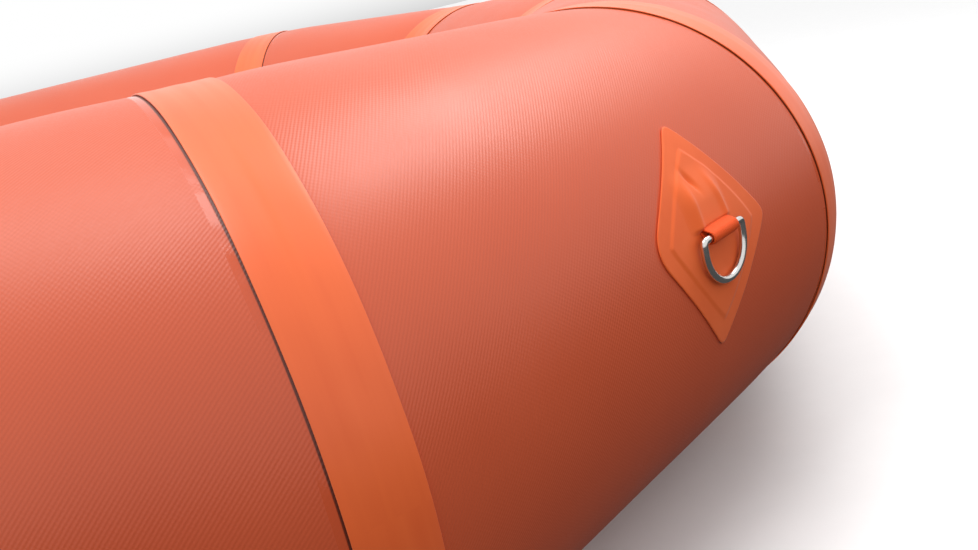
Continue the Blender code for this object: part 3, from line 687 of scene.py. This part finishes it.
def patch_height(along, around, share):
    """Height of the patch: its own thickness, the inner diamond's step, the tent over the strap,
    two ridges that run up from the strap's edges and a dimple between them."""
    across = along * math.cos(PATCH_TURN) + around * math.sin(PATCH_TURN)
    upward = around * math.cos(PATCH_TURN) - along * math.sin(PATCH_TURN)
    inner = ((np.abs(across) / (PATCH_HALF_ALONG * 0.74)) ** 1.12
             + (np.abs(upward) / (PATCH_HALF_AROUND * 0.74)) ** 1.12)
    step = 0.0009 * smooth_step((1.06 - inner) / 0.10)
    rise = smooth_step((around - 0.0035) / 0.004) * smooth_step((0.046 - around) / 0.026)
    side = smooth_step((STRAP_HALF + 0.010 - np.abs(along)) / 0.011)
    tent = 0.0034 * rise * side
    ridge_line = 0.015 - 0.10 * (around - 0.01)
    ridge = (0.0013 * np.exp(-((np.abs(along) - ridge_line) / 0.0030) ** 2)
             * rise * smooth_step((0.056 - around) / 0.03))
    crease = 0.0021 * np.exp(-((along + 0.30 * (around - 0.036) + 0.004) / 0.0022) ** 2
                            - ((around - 0.036) / 0.007) ** 2)
    rim = -0.0003 * smooth_step((share - 0.985) / 0.015)
    return 0.0013 + step + tent + ridge - crease + rim


def patch_skin(name):
    """The patch on polar rows from its middle out to its edge, then down and back underneath."""
    turn = np.linspace(0, 2 * math.pi, 281)
    rows = np.concatenate([np.linspace(0.004, 0.95, 92), np.linspace(0.96, 1.0, 7)])
    share, direction = np.meshgrid(rows, turn, indexing="ij")
    uneven = 1.03 + 0.008 * soft_noise(np.cos(direction), np.sin(direction), 31 + STATIONS[name], 0.9)
    reach = share * diamond_edge(direction) * uneven
    along = reach * np.cos(direction + PATCH_TURN)
    around = reach * np.sin(direction + PATCH_TURN)
    middle = np.zeros((1, len(turn)))
    under = np.repeat([[0.0004], [0.0001], [-0.001], [-0.001]], len(turn), axis=1)
    height = np.concatenate([patch_height(middle, middle, middle), patch_height(along, around, share),
                             under])
    along, around = (np.concatenate([middle, flat, flat[-1:], flat[-1:] * 0.985, flat[-1:] * 0.985,
                                     middle]) for flat in (along, around))
    points = station_map(name)(along, around, height)
    points[:, -1] = points[:, 0]
    cloth = np.stack([along, around], axis=-1)
    mesh = grid_mesh("skin_patch_" + name, points[:, :-1], cloth, wrap_columns=True)
    close_poles(mesh)
    mesh.flip_normals()
    return place_piece(mesh, patch_pvc, "raft", ["patch_" + name])


def close_poles(mesh):
    """Merges the points that lie together at the middle of the polar rows."""
    work = bmesh.new()
    work.from_mesh(mesh)
    bmesh.ops.remove_doubles(work, verts=work.verts, dist=0.00001)
    bmesh.ops.dissolve_degenerate(work, edges=work.edges, dist=0.000001)
    work.to_mesh(mesh)
    work.free()


print("patch faces", sum(patch_skin(name) for name in STATIONS))

# %% [markdown]
# ## Strap: woven polyester webbing
# The strap is 30 mm webbing, a bright warp-faced weave folded round the ring's bar. Its two tails
# run under the patch. It is a flat strip with rounded edges, carried along a hairpin path in the
# section of the station.

# %% Make the webbing material
WEB_HEX = "#F5581C"
YARN = 0.0009
RIB_SCALE = 1 / 0.0014 / 6.283 * 3.14     # 20 radians to a unit: ribs 0.88 mm apart


def webbing_weave(name, colour):
    """Ribs along the strap over a fine weave, with painted shade darkening the gaps between the yarns
    by their depth and painted light lifting the crests a little.
    """
    made, tree = new_material(name)
    cloth = add_node(tree, "UVMap", {"uv_map": "cloth"}).outputs["UV"]
    ribs = add_node(tree, "TexWave", {"bands_direction": "X"}, Vector=cloth, Scale=RIB_SCALE,
                    Distortion=1.5, Detail=2.0, i4=300.0).outputs["Fac"]
    height = arithmetic(tree, "MULTIPLY_ADD", weave_height(tree, YARN), 0.5, ribs)
    # Painted shade and light: the yarns' tone is darkened in the gaps and lifted on the crests, by
    # their height.
    tone = blended(tree, 1.0, linear(colour), ranged(tree, height, -0.4, 0.8, 0.62, 1.05),
                   blend_type="MULTIPLY")
    dress(tree, tone, 0.62, height, 0.8, 0.00018, {"Specular IOR Level": 0.25})
    return made


webbing_cloth = webbing_weave("Polyester webbing", WEB_HEX)
print("webbing yarns", YARN * 1000, "mm apart")

# %% Make the straps
WIRE_RADIUS = 0.0025
STRAP_THICK = 0.0019


def hairpin():
    """Middle line of the strap as (around, above): tail, wrap round the bar, tail. The wrap starts
    and ends where a straight line from each tail's end touches the circle round the bar."""
    bend = WIRE_RADIUS + STRAP_THICK / 2 + 0.0001
    lower, upper = 0.0010, 0.0027
    tail = np.linspace(STRAP_TAIL, 0.0068, 9)
    touch = []
    for height, side in ((lower, -1), (upper, 1)):
        rise = height - BAR_HEIGHT
        opening = math.acos(min(1, bend / math.hypot(tail[-1], rise)))
        touch.append(math.atan2(rise, tail[-1]) + side * opening)
    wrap = np.linspace(touch[0], touch[1] - 2 * math.pi, 30)
    first = np.stack([tail, np.full(9, lower)], axis=1)
    around = np.stack([bend * np.cos(wrap), BAR_HEIGHT + bend * np.sin(wrap)], axis=1)
    last = np.stack([tail[::-1], np.full(9, upper)], axis=1)
    return np.concatenate([first, around, last])


def strap_section():
    """Closed cross-section: cosine and sine raised to low powers, a flat strip with round edges."""
    turn = np.linspace(0, 2 * math.pi, 40, endpoint=False)
    wide = STRAP_HALF * np.sign(np.cos(turn)) * np.abs(np.cos(turn)) ** 0.22
    thick = STRAP_THICK / 2 * np.sign(np.sin(turn)) * np.abs(np.sin(turn)) ** 0.6
    return wide, thick


def strap(name):
    """The section carried along the hairpin, its thickness on the path's own normal."""
    path = hairpin()
    step = np.gradient(path, axis=0)
    step /= np.linalg.norm(step, axis=1)[:, None]
    normal = np.stack([-step[:, 1], step[:, 0]], axis=1)
    wide, thick = strap_section()
    along = np.broadcast_to(wide, (len(path), len(wide)))
    offset = path[:, None] + normal[:, None] * thick[None, :, None]
    points = station_map(name)(along, offset[..., 0], offset[..., 1])
    ends = [np.repeat(row.mean(axis=1, keepdims=True), len(wide), axis=1)
            for row in (points[:1], points[-1:])]
    points = np.concatenate([ends[0], points, ends[1]])
    run = np.concatenate([[0, 0], np.cumsum(np.linalg.norm(np.diff(path, axis=0), axis=1)), [0.09]])
    sides = np.hypot(np.diff(wide, append=wide[:1]), np.diff(thick, append=thick[:1]))
    girth = np.concatenate([[0], np.cumsum(sides)])
    mesh = grid_mesh("strap_" + name, points, crossed(girth, run), wrap_columns=True)
    close_poles(mesh)
    mesh.flip_normals()
    return place_piece(mesh, webbing_cloth, "raft", ["webbing_" + name])


print("strap quads", sum(strap(name) for name in STATIONS))

# %% [markdown]
# ## D-rings: polished stainless steel
# The D is bent from 5 mm wire, welded in its bar and tumble-polished: near-mirror, with only the
# faintest draw lines along the wire. It is a circle carried along the D's outline, and it rides on
# its own body, because it swings about its bar.

# %% Make the steel material
def polished_steel(name):
    """A metal with a slight warm-grey tone, low roughness and fine draw lines along the wire."""
    made, tree = new_material(name)
    lines = noise(tree, stretched_cloth(tree, (2500.0, 60.0, 1.0)), 1.0)
    tone = blended(tree, lines, linear("#E6E4E1"), linear("#CFCDCA"))
    rough = ranged(tree, lines, 0.3, 0.7, 0.15, 0.26)
    dress(tree, tone, rough, lines, 0.15, 0.00003, {"Metallic": 1.0})
    return made


ring_steel = polished_steel("Stainless steel, polished")
print("steel", ring_steel.name)

# %% Make the D-rings
RING_LOW, RING_HIGH = box_of("dring_side_starboard")
RING_HALF = (RING_HIGH[0] - RING_LOW[0]) / 2 - WIRE_RADIUS
RING_DEPTH = RING_HIGH[2] - RING_LOW[2] - 2 * WIRE_RADIUS


def d_outline():
    """The wire's middle line as (along the bar, down): bar, two tight corners and a half circle."""
    half = RING_HALF
    corner = 0.0030
    turn = np.linspace(math.pi / 2, 0, 9)
    corners = np.stack([half - corner + corner * np.cos(turn), corner - corner * np.sin(turn)],
                       axis=1)
    sweep = np.linspace(0, math.pi / 2, 29)
    bow = np.stack([half * np.cos(sweep), RING_DEPTH - half + half * np.sin(sweep)], axis=1)
    bar = np.stack([np.linspace(0, half - corner, 7)[:-1], np.zeros(6)], axis=1)
    one_side = np.concatenate([bar, corners, bow])
    return np.concatenate([one_side, one_side[-2:0:-1] * np.array([-1, 1])])


def steel_ring(name):
    """A circle carried round the D, in the plane of the bar and the plumb line."""
    move = MOVES["ring_" + name + "_swing"]
    centre = np.array(move["pos_m"])
    bar = -np.array(move["axis"]) / np.linalg.norm(move["axis"])
    down = np.array([0.0, 0.0, -1.0])
    down = down - bar * (down @ bar)
    down /= np.linalg.norm(down)
    out = np.cross(down, bar)
    path = d_outline()
    step = np.roll(path, -1, axis=0) - np.roll(path, 1, axis=0)
    step /= np.linalg.norm(step, axis=1)[:, None]
    side = np.stack([step[:, 1], -step[:, 0]], axis=1)
    turn = np.linspace(0, 2 * math.pi, 28, endpoint=False)
    middle = centre + path[:, :1] * bar + path[:, 1:] * down
    across = side[:, :1] * bar + side[:, 1:] * down
    points = middle[:, None] + WIRE_RADIUS * (np.cos(turn)[None, :, None] * across[:, None]
                                              + np.sin(turn)[None, :, None] * out)
    run = np.concatenate([[0], np.cumsum(np.linalg.norm(np.diff(path, axis=0), axis=1)), [0.13]])
    girth = np.linspace(0, 2 * math.pi * WIRE_RADIUS, 29)
    mesh = grid_mesh("wire_" + name, points, crossed(girth, run), wrap_rows=True, wrap_columns=True)
    return place_piece(mesh, ring_steel, "ring_" + name, ["dring_" + name])


print("ring quads", sum(steel_ring(name) for name in STATIONS))

# %% [markdown]
# ## Floor: a beamed air mattress
# The floor is a welded mattress whose inner walls pull its top into five long beams. It is made of
# the same coated cloth in grey. Its outline follows the hull's inner side, so the top is drawn
# from the middle line out to that outline, and its edge rolls round and runs back underneath.

# %% Make the floor
FLOOR_HEX = "#74777B"
floor_cloth = coated_fabric("PVC-coated polyester, floor", FLOOR_HEX, "#696C70", 0.00006, 0.42, 0.55)
FLOOR_TOP = 0.100
BEAM_DIP = 0.012
BEAM_WIDTH = 2 * HALF_WIDTH / 5
EDGE_ROLL = 0.016


def floor_outline(points_per_side):
    """The outline in plan: a corner inside each joint, where the hull's inner face stands at the
    height of the floor's top, and straight sides between the corners."""
    corners = []
    for place, heading, radius in JOINTS:
        reach = (math.sqrt(radius ** 2 - (TUBE_HEIGHT - FLOOR_TOP) ** 2) + 0.0025) / MITRE
        corners.append(place[:2] + reach * np.array([-math.sin(heading), math.cos(heading)]))
    corners = np.array(corners)
    share = np.linspace(0, 1, points_per_side, endpoint=False)[None, :, None]
    sides = corners[:, None] * (1 - share) + np.roll(corners, -1, axis=0)[:, None] * share
    return sides.reshape(-1, 2)


def floor_height(points):
    """Top of the floor: a cosine's size across the raft, so it dips between the beams."""
    wave = np.abs(np.cos(np.pi * points[..., 1] / BEAM_WIDTH)) ** 0.8
    return FLOOR_TOP - BEAM_DIP * (1 - wave)


def make_floor():
    """Rows shrink from the outline to a spine. The edge is a quarter ellipse above and below."""
    outline = floor_outline(40)
    spine = np.stack([np.clip(outline[:, 0], -0.75, 0.75), np.zeros(len(outline))], axis=1)
    reach = 1 - EDGE_ROLL / 0.38
    rows = [spine + (outline - spine) * share for share in np.linspace(0, 1, 90) * reach]
    heights = [floor_height(row) for row in rows]
    for angle in np.linspace(0, math.pi, 25)[1:]:
        rows.append(spine + (outline - spine) * (reach + (1 - reach) * math.sin(angle)))
        heights.append(heights[89] / 2 * (1 + math.cos(angle)))
    for share in (0.5, 0.0):
        rows.append(spine + (outline - spine) * share)
        heights.append(np.zeros(len(outline)))
    plan, height = np.array(rows), np.array(heights)
    points = np.concatenate([plan, height[..., None]], axis=-1)
    cloth = np.concatenate([plan, plan[:, :1]], axis=1)
    mesh = grid_mesh("mattress", points, cloth, wrap_columns=True)
    close_poles(mesh)
    up = sum(polygon.normal.z * polygon.area for polygon in mesh.polygons
             if polygon.center.z > 0.08)
    if up < 0:
        mesh.flip_normals()
    return place_piece(mesh, floor_cloth, "raft", ["floor"])


print("floor quads", make_floor())

# %% [markdown]
# ## Thwarts
# Two cross tubes tie the sides together. Each is a plain tube of the hull's cloth whose end lines
# stop where they meet the side tube, so the end is saddle-shaped. A collar of tape is welded round
# each end, half on the thwart and half on the side tube, and turns the corner in a small fillet.

# %% Make the thwarts and their collars
THWART_LOW, THWART_HIGH = box_of("thwart_fore")
THWART_RADIUS = (THWART_HIGH[2] - THWART_LOW[2]) / 2 / math.cos(math.pi / 24)
THWART_HEIGHT = (THWART_HIGH[2] + THWART_LOW[2]) / 2
COLLAR = 0.028


def thwart_reach(height):
    """How far out the side tube's inner face stands at a height: half width less a circle."""
    drop = height - TUBE_HEIGHT
    return HALF_WIDTH - np.sqrt(np.clip(TUBE_RADIUS ** 2 - drop ** 2, 0, None))


def thwart_points(x, angle, radius, across):
    """Points of a ring round a thwart's axis, each at its own distance across the raft."""
    return np.stack([x + radius * np.cos(angle), across, THWART_HEIGHT + radius * np.sin(angle)],
                    axis=-1)


def thwart_skin(node):
    """A tube across the raft. Share runs from the starboard to the port end of each line."""
    low, high = box_of(node)
    x = (low[0] + high[0]) / 2
    share, angle = np.meshgrid(np.linspace(-1, 1, 130), np.linspace(0, 2 * math.pi, 161), indexing="ij")
    end = thwart_reach(THWART_HEIGHT + THWART_RADIUS * np.sin(angle)) + 0.0008
    across = share * end
    gone = end - np.abs(across)
    lift = 0.0003 * soft_noise(across, angle * THWART_RADIUS, int(abs(x) * 100) + (x > 0), 0.15)
    radius = THWART_RADIUS + lift * (1 - np.exp(-(gone / 0.03) ** 2))
    points = thwart_points(x, angle, radius, across)
    points[:, -1] = points[:, 0]
    cloth = np.stack([angle * THWART_RADIUS, across], axis=-1)
    mesh = grid_mesh("skin_" + node, points[:, :-1], cloth, wrap_columns=True)
    mesh.flip_normals()
    faces = place_piece(mesh, hull_fabric, "raft", [node])
    return faces + sum(collar(node, x, side, word) for side, word in ((-1, "starboard"), (1, "port")))


def collar(node, x, side, word):
    """A tape ring at a thwart's end: a strip on the thwart, a fillet, then a strip on the hull.
    The fillet is a quarter circle, and the strips' outer edges come down onto the tubes."""
    angle = np.linspace(0, 2 * math.pi, 201)
    sine = np.sin(angle)
    thick, fillet = 0.0012, 0.006
    end = thwart_reach(THWART_HEIGHT + THWART_RADIUS * sine)
    rows = [(THWART_RADIUS + (0.0003 if share == 1 else thick), end - fillet - share * COLLAR)
            for share in np.linspace(1, 0, 12)]
    bends = [(fillet * (1 - math.cos(turn)), fillet * (1 - math.sin(turn)) + thick)
             for turn in np.linspace(0, math.pi / 2, 8)[1:]]
    bends += [(fillet + share * COLLAR, thick if share < 1 else 0.0002)
              for share in np.linspace(0, 1, 10)[1:]]
    for outward, rise in bends:
        radius = THWART_RADIUS + thick + outward
        rows.append((radius, thwart_reach(THWART_HEIGHT + radius * sine) - rise))
    points = np.array([thwart_points(x, angle, radius, side * reach) for radius, reach in rows])
    points[:, -1] = points[:, 0]
    cloth = crossed(angle * THWART_RADIUS, np.arange(len(rows)) * 0.0025)
    mesh = grid_mesh("collar_%s_%s" % (node, word), points[:, :-1], cloth, wrap_columns=True)
    if side > 0:
        mesh.flip_normals()
    return place_piece(mesh, seam_pvc, "raft", [])


print("thwart and collar quads", [thwart_skin(node) for node in ("thwart_fore", "thwart_aft")])

# %% [markdown]
# ## Air valves: moulded nylon
# Each valve is a flanged barrel in glass-filled nylon, with a flip cap on a pin and a plunger on a
# spring. Moulded nylon is near black with a fine sparked texture and a low sheen, and it wears
# lighter in scattered patches. The flange, cap and plunger are turned profiles with rounded edges.
# The lugs and the cap's knuckle are small blocks bent round the pin.

# %% Make the plastics
def moulded(name, colour, worn, rough_low, rough_high, grain):
    """Moulded plastic: sparked grain of about grain metres, worn lighter where it is handled."""
    made, tree = new_material(name)
    place = object_place(tree)
    scuff = noise(tree, place, 160.0, 6.0, Roughness=0.65)
    tone = blended(tree, ranged(tree, scuff, 0.50, 0.78), linear(colour), linear(worn))
    rough = ranged(tree, scuff, 0.3, 0.7, rough_low, rough_high)
    dress(tree, tone, rough, noise(tree, place, 1 / grain, 3.0), 0.6, 0.00008, {"IOR": 1.53})
    return made


valve_nylon = moulded("Glass-filled nylon, valve", "#1B1B1D", "#3A3A3C", 0.42, 0.60, 0.0005)
plunger_acetal = moulded("Acetal, plunger", "#8B8D90", "#A5A7A9", 0.35, 0.50, 0.0008)
print("plastics", valve_nylon.name, "and", plunger_acetal.name)

# %% Turned valve pieces
FLANGE_RADIUS, FLANGE_THICK = 0.0270, 0.0030
BARREL_RADIUS, BARREL_DEPTH, BORE_RADIUS = 0.0190, 0.0200, 0.0150
WEB_THICK, STEM_RADIUS, STEM_HOLE = 0.0025, 0.0030, 0.0034
CAP_RADIUS, CAP_THICK, CAP_RIM = 0.0225, 0.0030, 0.0020
KNUCKLE, PIN_RADIUS, FIT = 0.0022, 0.0009, 0.0003
LUG_INNER, LUG_LENGTH, RIM_FIT = 0.0043, 0.0030, 0.0018
DISC_RADIUS, BUTTON_RADIUS = 0.0120, 0.0060
VALVES = ["port", "starboard", "thwart_fore", "thwart_aft", "floor"]


def valve_frame(name):
    """A valve's seat centre, outward direction, the direction of its hinge and the pin's line."""
    seat = np.array(MOVES["plunger_" + name + "_press"]["pos_m"])
    axis = -np.array(MOVES["plunger_" + name + "_press"]["axis"])
    across = np.array([1.0, 0.0, 0.0]) - axis * axis[0]
    across /= np.linalg.norm(across)
    return seat, axis, across, np.cross(axis, across)


def soft_profile(corners, closed=True, reach=0.0005, steps=4):
    """Rounds each corner of a (radius, height) outline by a parabola of the given reach."""
    corners = np.array(corners, float)
    rounded = []
    for k, point in enumerate(corners):
        if not closed and k in (0, len(corners) - 1):
            rounded.append(point)
            continue
        first, second = corners[k - 1] - point, corners[(k + 1) % len(corners)] - point
        runs = np.linalg.norm(first), np.linalg.norm(second)
        cut = min(reach, 0.45 * runs[0], 0.45 * runs[1])
        rounded += [parabola(q, point + first / runs[0] * cut, point, point + second / runs[1] * cut)
                    for q in np.linspace(0, 1, steps)]
    return np.array(rounded)


def turned(valve, profile, closed, ridges=0, ridge_depth=0.0):
    """A profile turned about the valve's axis. Ridges are a cosine in radius on the outer wall."""
    seat, axis, across, other = valve_frame(valve)
    turn = np.linspace(0, 2 * math.pi, 97)
    radius, height = profile[:, :1], profile[:, 1][:, None, None]
    outer = radius > radius.max() - 0.0002
    radius = radius - outer * ridge_depth * (0.5 + 0.5 * np.cos(ridges * turn))
    round_way = np.cos(turn)[:, None] * across + np.sin(turn)[:, None] * other
    points = seat + axis * height + radius[..., None] * round_way
    points[:, -1] = points[:, 0]
    mesh = grid_mesh("bare", points[:, :-1], wrap_rows=closed, wrap_columns=True)
    close_poles(mesh)
    return mesh


def pin_block(valve, outline, spans):
    """Blocks along the pin's line: an outline in (across, up) about the pin, carried from one
    place to another in each span, and a little smaller at both ends."""
    seat, axis, across, other = valve_frame(valve)
    outline = soft_profile(outline, reach=0.0004, steps=3)
    flat = outline[:, :1] * across + outline[:, 1:] * axis
    pin = np.array(MOVES["cap_" + valve + "_flip"]["pos_m"])
    count = len(outline)
    vertices, faces = [], []
    for low, high in spans:
        first = len(vertices)
        for shrink, place in ((0.88, low), (1.0, low + 0.0003), (1.0, high - 0.0003), (0.88, high)):
            vertices += [tuple(p) for p in pin + shrink * flat + other * place]
        for start in range(first, first + 3 * count, count):
            faces += [(start + k, start + (k + 1) % count, start + count + (k + 1) % count,
                       start + count + k) for k in range(count)]
        faces.append(tuple(range(first + count - 1, first - 1, -1)))
        faces.append(tuple(range(first + 3 * count, first + 4 * count)))
    return vertices, faces


def joined(name, *shapes):
    """One mesh from several shapes. Each is a mesh, or points and faces."""
    work = bmesh.new()
    for shape in shapes:
        if not isinstance(shape, bpy.types.Mesh):
            made = bpy.data.meshes.new("part")
            made.from_pydata(shape[0], [], shape[1])
            shape = made
        work.from_mesh(shape)
    bmesh.ops.recalc_face_normals(work, faces=work.faces)
    mesh = bpy.data.meshes.new(name)
    work.to_mesh(mesh)
    work.free()
    mesh.polygons.foreach_set("use_smooth", np.ones(len(mesh.polygons), bool))
    mesh.set_sharp_from_angle(angle=math.radians(50))
    return mesh


# %% Assemble the valves
def arc_points(low, high):
    """Points of the knuckle's circle between two angles."""
    return [(KNUCKLE * math.cos(a), KNUCKLE * math.sin(a)) for a in np.linspace(low, high, 13)]


def round_outline(back, low):
    """Half circle of the knuckle's radius toward +across, closed back by a straight arm."""
    return [(-back, -low)] + arc_points(-math.pi / 2, math.pi / 2) + [(-back, low)]


def ear_outline(foot):
    """A lug: square at its foot and round over the pin."""
    return [(-KNUCKLE, -foot), (KNUCKLE, -foot)] + arc_points(0, math.pi)


def make_valve(valve):
    """Body with lugs, cap with knuckle and pin, and plunger. Each rides on its own body."""
    floor = -BARREL_DEPTH
    web = floor + WEB_THICK
    body = soft_profile([(BORE_RADIUS, FLANGE_THICK), (FLANGE_RADIUS, FLANGE_THICK),
                         (FLANGE_RADIUS, 0), (BARREL_RADIUS, 0), (BARREL_RADIUS, floor),
                         (STEM_HOLE, floor), (STEM_HOLE, web), (BORE_RADIUS, web)], reach=0.0009)
    ears = pin_block(valve, ear_outline(KNUCKLE + FIT + 0.001),
                     [(-LUG_INNER - LUG_LENGTH, -LUG_INNER), (LUG_INNER, LUG_INNER + LUG_LENGTH)])
    mesh = joined("body_" + valve, turned(valve, body, True), ears)
    place_piece(mesh, valve_nylon, "raft", ["valve_body_" + valve])
    base = FLANGE_THICK + FIT
    top, low = base + CAP_THICK, base - CAP_RIM
    rim = BORE_RADIUS - RIM_FIT
    lid = soft_profile([(0.00005, base), (rim - 0.002, base), (rim - 0.002, low), (rim, low),
                        (rim, base), (CAP_RADIUS, base), (CAP_RADIUS, top - 0.0008),
                        (CAP_RADIUS - 0.0008, top), (0.014, top), (0.0125, top - 0.0012),
                        (0.0, top - 0.0006)], closed=False, reach=0.0006)
    lid[0, 0] = 0.0
    arm = pin_block(valve, round_outline(2 * KNUCKLE, 0.6 * KNUCKLE), [(-0.004, 0.004)])
    turn = np.linspace(0, 2 * math.pi, 16, endpoint=False)
    wire = PIN_RADIUS * np.stack([np.cos(turn), np.sin(turn)], axis=1)
    pin = pin_block(valve, wire, [(-LUG_INNER - LUG_LENGTH, LUG_INNER + LUG_LENGTH)])
    mesh = joined("cap_" + valve, turned(valve, lid, False, 30, 0.0005), arm, pin)
    place_piece(mesh, valve_nylon, "cap_" + valve, ["valve_cap_" + valve])
    disc_top = floor - FIT
    button = web + 0.007
    stem = soft_profile([(0.0, disc_top - 0.002), (DISC_RADIUS, disc_top - 0.002),
                         (DISC_RADIUS, disc_top), (STEM_RADIUS, disc_top), (STEM_RADIUS, button),
                         (BUTTON_RADIUS, button), (BUTTON_RADIUS, button + 0.003),
                         (0.0, button + 0.003)], closed=False)
    mesh = joined("plunger_" + valve, turned(valve, stem, False))
    place_piece(mesh, plunger_acetal, "plunger_" + valve, ["valve_plunger_" + valve])


for valve in VALVES:
    make_valve(valve)
print("valves", len(VALVES), "pieces", 3 * len(VALVES))

# %% Open the skins under the valves
CUT_RADIUS = (BORE_RADIUS + BARREL_RADIUS) / 2
CUT_REACH = 0.03


def open_bore(skin, valve):
    """Takes a skin away inside a valve's barrel and draws the cut edge onto a circle inside the
    barrel's wall, so that an open cap shows the bore. Returns how many points went."""
    seat, axis, _, _ = valve_frame(valve)
    centre, way = Vector(seat), Vector(axis)

    def split(vertex):
        height = (vertex.co - centre).dot(way)
        return height, vertex.co - centre - way * height

    mesh = bpy.data.objects[skin].data
    work = bmesh.new()
    work.from_mesh(mesh)
    wide = [edge for edge in work.edges if edge.calc_length() > 0.012
            and all(abs(split(vertex)[0]) < CUT_REACH for vertex in edge.verts)
            and min(split(vertex)[1].length for vertex in edge.verts) < 4 * CUT_RADIUS]
    if wide:
        bmesh.ops.subdivide_edges(work, edges=wide, cuts=5, use_grid_fill=True)
    before = len(work.verts)
    near = [vertex for vertex in work.verts if abs(split(vertex)[0]) < CUT_REACH
            and split(vertex)[1].length < 2 * CUT_RADIUS]
    inside = [vertex for vertex in near if split(vertex)[1].length < CUT_RADIUS]
    keep = set(near) - set(inside)
    bmesh.ops.delete(work, geom=inside, context="VERTS")
    for vertex in keep:
        if vertex.is_valid and vertex.is_boundary:
            height, flat = split(vertex)
            vertex.co = centre + way * height + flat.normalized() * CUT_RADIUS
    gone = before - len(work.verts)
    work.to_mesh(mesh)
    work.free()
    return gone


SKINS = {"port": "skin_side_tube_port", "starboard": "skin_side_tube_starboard", "floor": "mattress",
         "thwart_fore": "skin_thwart_fore", "thwart_aft": "skin_thwart_aft"}
print("points cut", {valve: open_bore(skin, valve) for valve, skin in SKINS.items()})

# %% [markdown]
# ## Chamber walls
# The two inner walls that divide the hull into a fore and an aft chamber are cloth discs that
# nobody sees. They keep their finished shape from the frame and get the hull's cloth as it looks
# from inside, read in Object coordinates because those discs have no cloth map.

# %% Finish the chamber walls
wall_cloth, tree = new_material("PVC-coated polyester, inner wall")
grain = noise(tree, object_place(tree), 600.0)
tone = blended(tree, grain, linear(HULL_HEX), linear("#A9482C"))
dress(tree, tone, 0.55, grain, 0.5, 0.0001, {})
for node in ("baffle_bow", "baffle_stern"):
    wall = frame["nodes"][node]
    for slot in wall.material_slots:
        slot.material = wall_cloth
    if not wall.material_slots:
        wall.data.materials.append(wall_cloth)

print("walls", wall_cloth.name)
